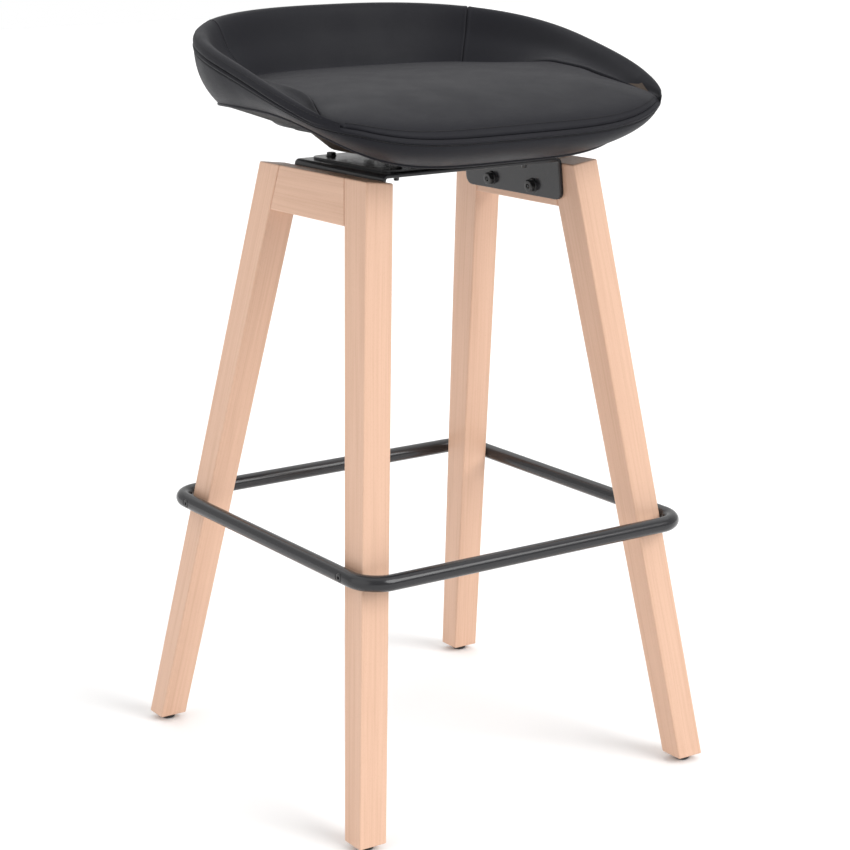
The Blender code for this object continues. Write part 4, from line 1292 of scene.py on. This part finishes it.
def finish_wood():
    """Beech on each leg and rail, its grain laid along the piece by the finish's own mapping."""
    for index, corner in enumerate(CORNERS):
        node = f"leg_{corner}"
        points = node_points(node)
        top = points[points[:, 2] > points[:, 2].max() - 0.006].mean(0)
        foot = points[points[:, 2] < points[:, 2].min() + 0.002].mean(0)
        turn = Vector(top - foot).to_track_quat("Z", "Y").to_euler()
        refinish(node, wood_finish(f"beech_leg_{index}", turn, (0.31 * index, 0.17 * index, 0.0)))
    for index, side in enumerate(("left", "right")):
        turn = (math.radians(90), 0.0, 0.0)
        refinish(f"top_rail_{side}", wood_finish(f"beech_rail_{index}", turn, (0.23, 0.4, 0.7 * index)))
    for index, corner in enumerate(CORNERS):
        refinish(f"dowel_{corner}", wood_finish(f"beech_dowel_{index}", (math.radians(90), 0, 0), (0.1, 0.2, index)))


def finish_hidden():
    """Finishes for the carried-over pieces that the new ones don't stand for."""
    plain = {
        "swivel_lower_plate": "steel",
        "swivel_upper_plate": "steel",
        "ball_cage": "bearing",
        "pivot_rivet": "zinc",
    }
    for number in range(1, 5):
        plain[f"rail_insert_{number}"] = "zinc"
        plain[f"seat_bolt_{number}"] = "zinc"
        plain[f"tee_nut_{number}"] = "zinc"
    for corner in CORNERS:
        plain[f"glide_insert_{corner}"] = "zinc"
    for node, label in plain.items():
        refinish(node, finish(label))
    refinish("seat_shell", coat_finish("shell_plywood", (0.05, 0.032, 0.02), 0.7, coat=0.0))


# Stage


def build_stage():
    """A pale floor, soft lights from above and from the right, and the camera."""
    scene = bpy.context.scene
    material = bpy.data.materials.new("floor_paint")
    material.use_nodes = True
    shader = material.node_tree.nodes["Principled BSDF"]
    shader.inputs["Base Color"].default_value = (*colours().floor, 1.0)
    shader.inputs["Roughness"].default_value = 0.9
    shader.inputs["Specular IOR Level"].default_value = 0.1
    mesh = bpy.data.meshes.new("floor")
    span = 12.0
    corners = [(-span, -span, 0), (span, -span, 0), (span, span, 0), (-span, span, 0)]
    mesh.from_pydata(corners, [], [(0, 1, 2, 3)])
    mesh.materials.append(material)
    floor = bpy.data.objects.new("floor", mesh)
    scene.collection.objects.link(floor)
    add_surroundings(scene)
    add_light("key_light", (0.45, -1.0, 0.75), 2.3, 40.0)
    add_light("side_light", (-1.0, -0.1, 0.4), 0.75, 60.0)
    add_light("top_light", (0.1, 0.25, 1.2), 1.05, 90.0)
    add_camera(scene)


def add_surroundings(scene):
    """White surroundings, seen by the camera as they are, and darker in front for the lighting."""
    world = bpy.data.worlds.new("studio")
    world.use_nodes = True
    tree = world.node_tree
    sky = tree.nodes["Background"]
    place = add(tree, "ShaderNodeTexCoord")
    parts = add(tree, "ShaderNodeSeparateXYZ")
    link(tree, place.outputs["Generated"], parts.inputs[0])
    level = add(tree, "ShaderNodeMapRange")
    for label, value in (("From Min", -0.9), ("From Max", 0.5), ("To Min", 0.24), ("To Max", 0.72)):
        level.inputs[label].default_value = value
    link(tree, parts.outputs["Y"], level.inputs["Value"])
    seen = add(tree, "ShaderNodeLightPath")
    strength = math_node(tree, "MAXIMUM", level.outputs[0], seen.outputs["Is Camera Ray"])
    sky.inputs["Color"].default_value = (1.0, 1.0, 1.0, 1.0)
    link(tree, strength, sky.inputs["Strength"])
    scene.world = world


def add_light(name, from_side, strength, spread):
    """A broad distant light from one side."""
    data = bpy.data.lights.new(name, "SUN")
    data.energy = strength
    data.angle = math.radians(spread)
    light = bpy.data.objects.new(name, data)
    light.rotation_euler = Vector(from_side).to_track_quat("Z", "Y").to_euler()
    bpy.context.scene.collection.objects.link(light)


def add_camera(scene):
    """The camera looks from the front left, a little above the seat, with a small shift."""
    data = bpy.data.cameras.new("camera")
    data.sensor_width = 36.0
    data.lens = 87.64
    data.shift_x = 0.2647
    data.shift_y = 0.1118
    camera = bpy.data.objects.new("camera", data)
    place, target = Vector((-1.40514, -1.91509, 1.01404)), Vector((-0.23368, 0.12355, 0.28683))
    forward = (target - place).normalized()
    right = forward.cross(Vector((0, 0, 1))).normalized()
    up = right.cross(forward)
    tilt = -0.016
    turned_right = right * math.cos(tilt) + up * math.sin(tilt)
    turned_up = up * math.cos(tilt) - right * math.sin(tilt)
    basis = Matrix((turned_right, turned_up, -forward)).transposed().to_4x4()
    camera.matrix_world = Matrix.Translation(place) @ basis
    scene.collection.objects.link(camera)
    scene.camera = camera
    scene.view_settings.view_transform = "Standard"


# Operators and panel


class StoolOperator:
    """Shared by the operators: runs its builders in order."""

    bl_options = {"REGISTER", "UNDO"}
    builders = ()

    def execute(self, context):
        for build in self.builders:
            build()
        return {"FINISHED"}


class STOOL_OT_wood(StoolOperator, bpy.types.Operator):
    """Lay beech on the legs, rails and dowels"""

    bl_idname = "stool.wood"
    bl_label = "Wooden frames"
    builders = (finish_wood,)


class STOOL_OT_foot_ring(StoolOperator, bpy.types.Operator):
    """Build the foot ring and its screws"""

    bl_idname = "stool.foot_ring"
    bl_label = "Foot ring"
    builders = (build_foot_ring,)


class STOOL_OT_bracket(StoolOperator, bpy.types.Operator):
    """Build the folded bracket"""

    bl_idname = "stool.bracket"
    bl_label = "Bracket"
    builders = (build_bracket,)


class STOOL_OT_bolts(StoolOperator, bpy.types.Operator):
    """Build the bolts of the bracket and the swivel"""

    bl_idname = "stool.bolts"
    bl_label = "Bolts"
    builders = (build_bolts,)


class STOOL_OT_glides(StoolOperator, bpy.types.Operator):
    """Build the levelling glides"""

    bl_idname = "stool.glides"
    bl_label = "Levelling glides"
    builders = (build_glides,)


class STOOL_OT_hidden(StoolOperator, bpy.types.Operator):
    """Finish the swivel, the nuts, the inserts and the shell"""

    bl_idname = "stool.hidden"
    bl_label = "Hidden parts"
    builders = (finish_hidden,)


class STOOL_OT_cover(StoolOperator, bpy.types.Operator):
    """Build the seat's outer cover, its lip and the panel underneath"""

    bl_idname = "stool.cover"
    bl_label = "Outer cover"
    builders = (build_outer_cover, build_lip, build_bottom_panel)


class STOOL_OT_lining(StoolOperator, bpy.types.Operator):
    """Build the lining of the arms and the back"""

    bl_idname = "stool.lining"
    bl_label = "Back lining"
    builders = (build_lining,)


class STOOL_OT_cushion(StoolOperator, bpy.types.Operator):
    """Build and inflate the cushion"""

    bl_idname = "stool.cushion"
    bl_label = "Cushion"
    builders = (build_cushion,)


class STOOL_OT_stitching(StoolOperator, bpy.types.Operator):
    """Sew the rows of stitches beside the rim seam"""

    bl_idname = "stool.stitching"
    bl_label = "Stitching"
    builders = (build_stitching,)


class STOOL_OT_stage(StoolOperator, bpy.types.Operator):
    """Lay the floor, hang the lights and place the camera"""

    bl_idname = "stool.stage"
    bl_label = "Stage"
    builders = (build_stage,)


OPERATORS = (
    STOOL_OT_wood,
    STOOL_OT_foot_ring,
    STOOL_OT_bracket,
    STOOL_OT_bolts,
    STOOL_OT_glides,
    STOOL_OT_hidden,
    STOOL_OT_cover,
    STOOL_OT_lining,
    STOOL_OT_cushion,
    STOOL_OT_stitching,
    STOOL_OT_stage,
)


class STOOL_PT_panel(bpy.types.Panel):
    """Lists the stool's sizes, colours and operators"""

    bl_idname = "STOOL_PT_panel"
    bl_label = "Bar Stool"
    bl_space_type = "VIEW_3D"
    bl_region_type = "UI"
    bl_category = "Bar Stool"

    def draw(self, context):
        for group in (context.scene.stool_sizes, context.scene.stool_colours):
            for name in group.__annotations__:
                self.layout.prop(group, name)
        for operator in OPERATORS:
            self.layout.operator(operator.bl_idname)


CLASSES = (StoolSizes, StoolColours, *OPERATORS, STOOL_PT_panel)


def register():
    for item in CLASSES:
        bpy.utils.register_class(item)
    bpy.types.Scene.stool_sizes = PointerProperty(type=StoolSizes)
    bpy.types.Scene.stool_colours = PointerProperty(type=StoolColours)


def unregister():
    del bpy.types.Scene.stool_colours
    del bpy.types.Scene.stool_sizes
    for item in reversed(CLASSES):
        bpy.utils.unregister_class(item)


def main():
    register()
    for operator in OPERATORS:
        section, name = operator.bl_idname.split(".")
        getattr(getattr(bpy.ops, section), name)()


if __name__ == "__main__":
    main()
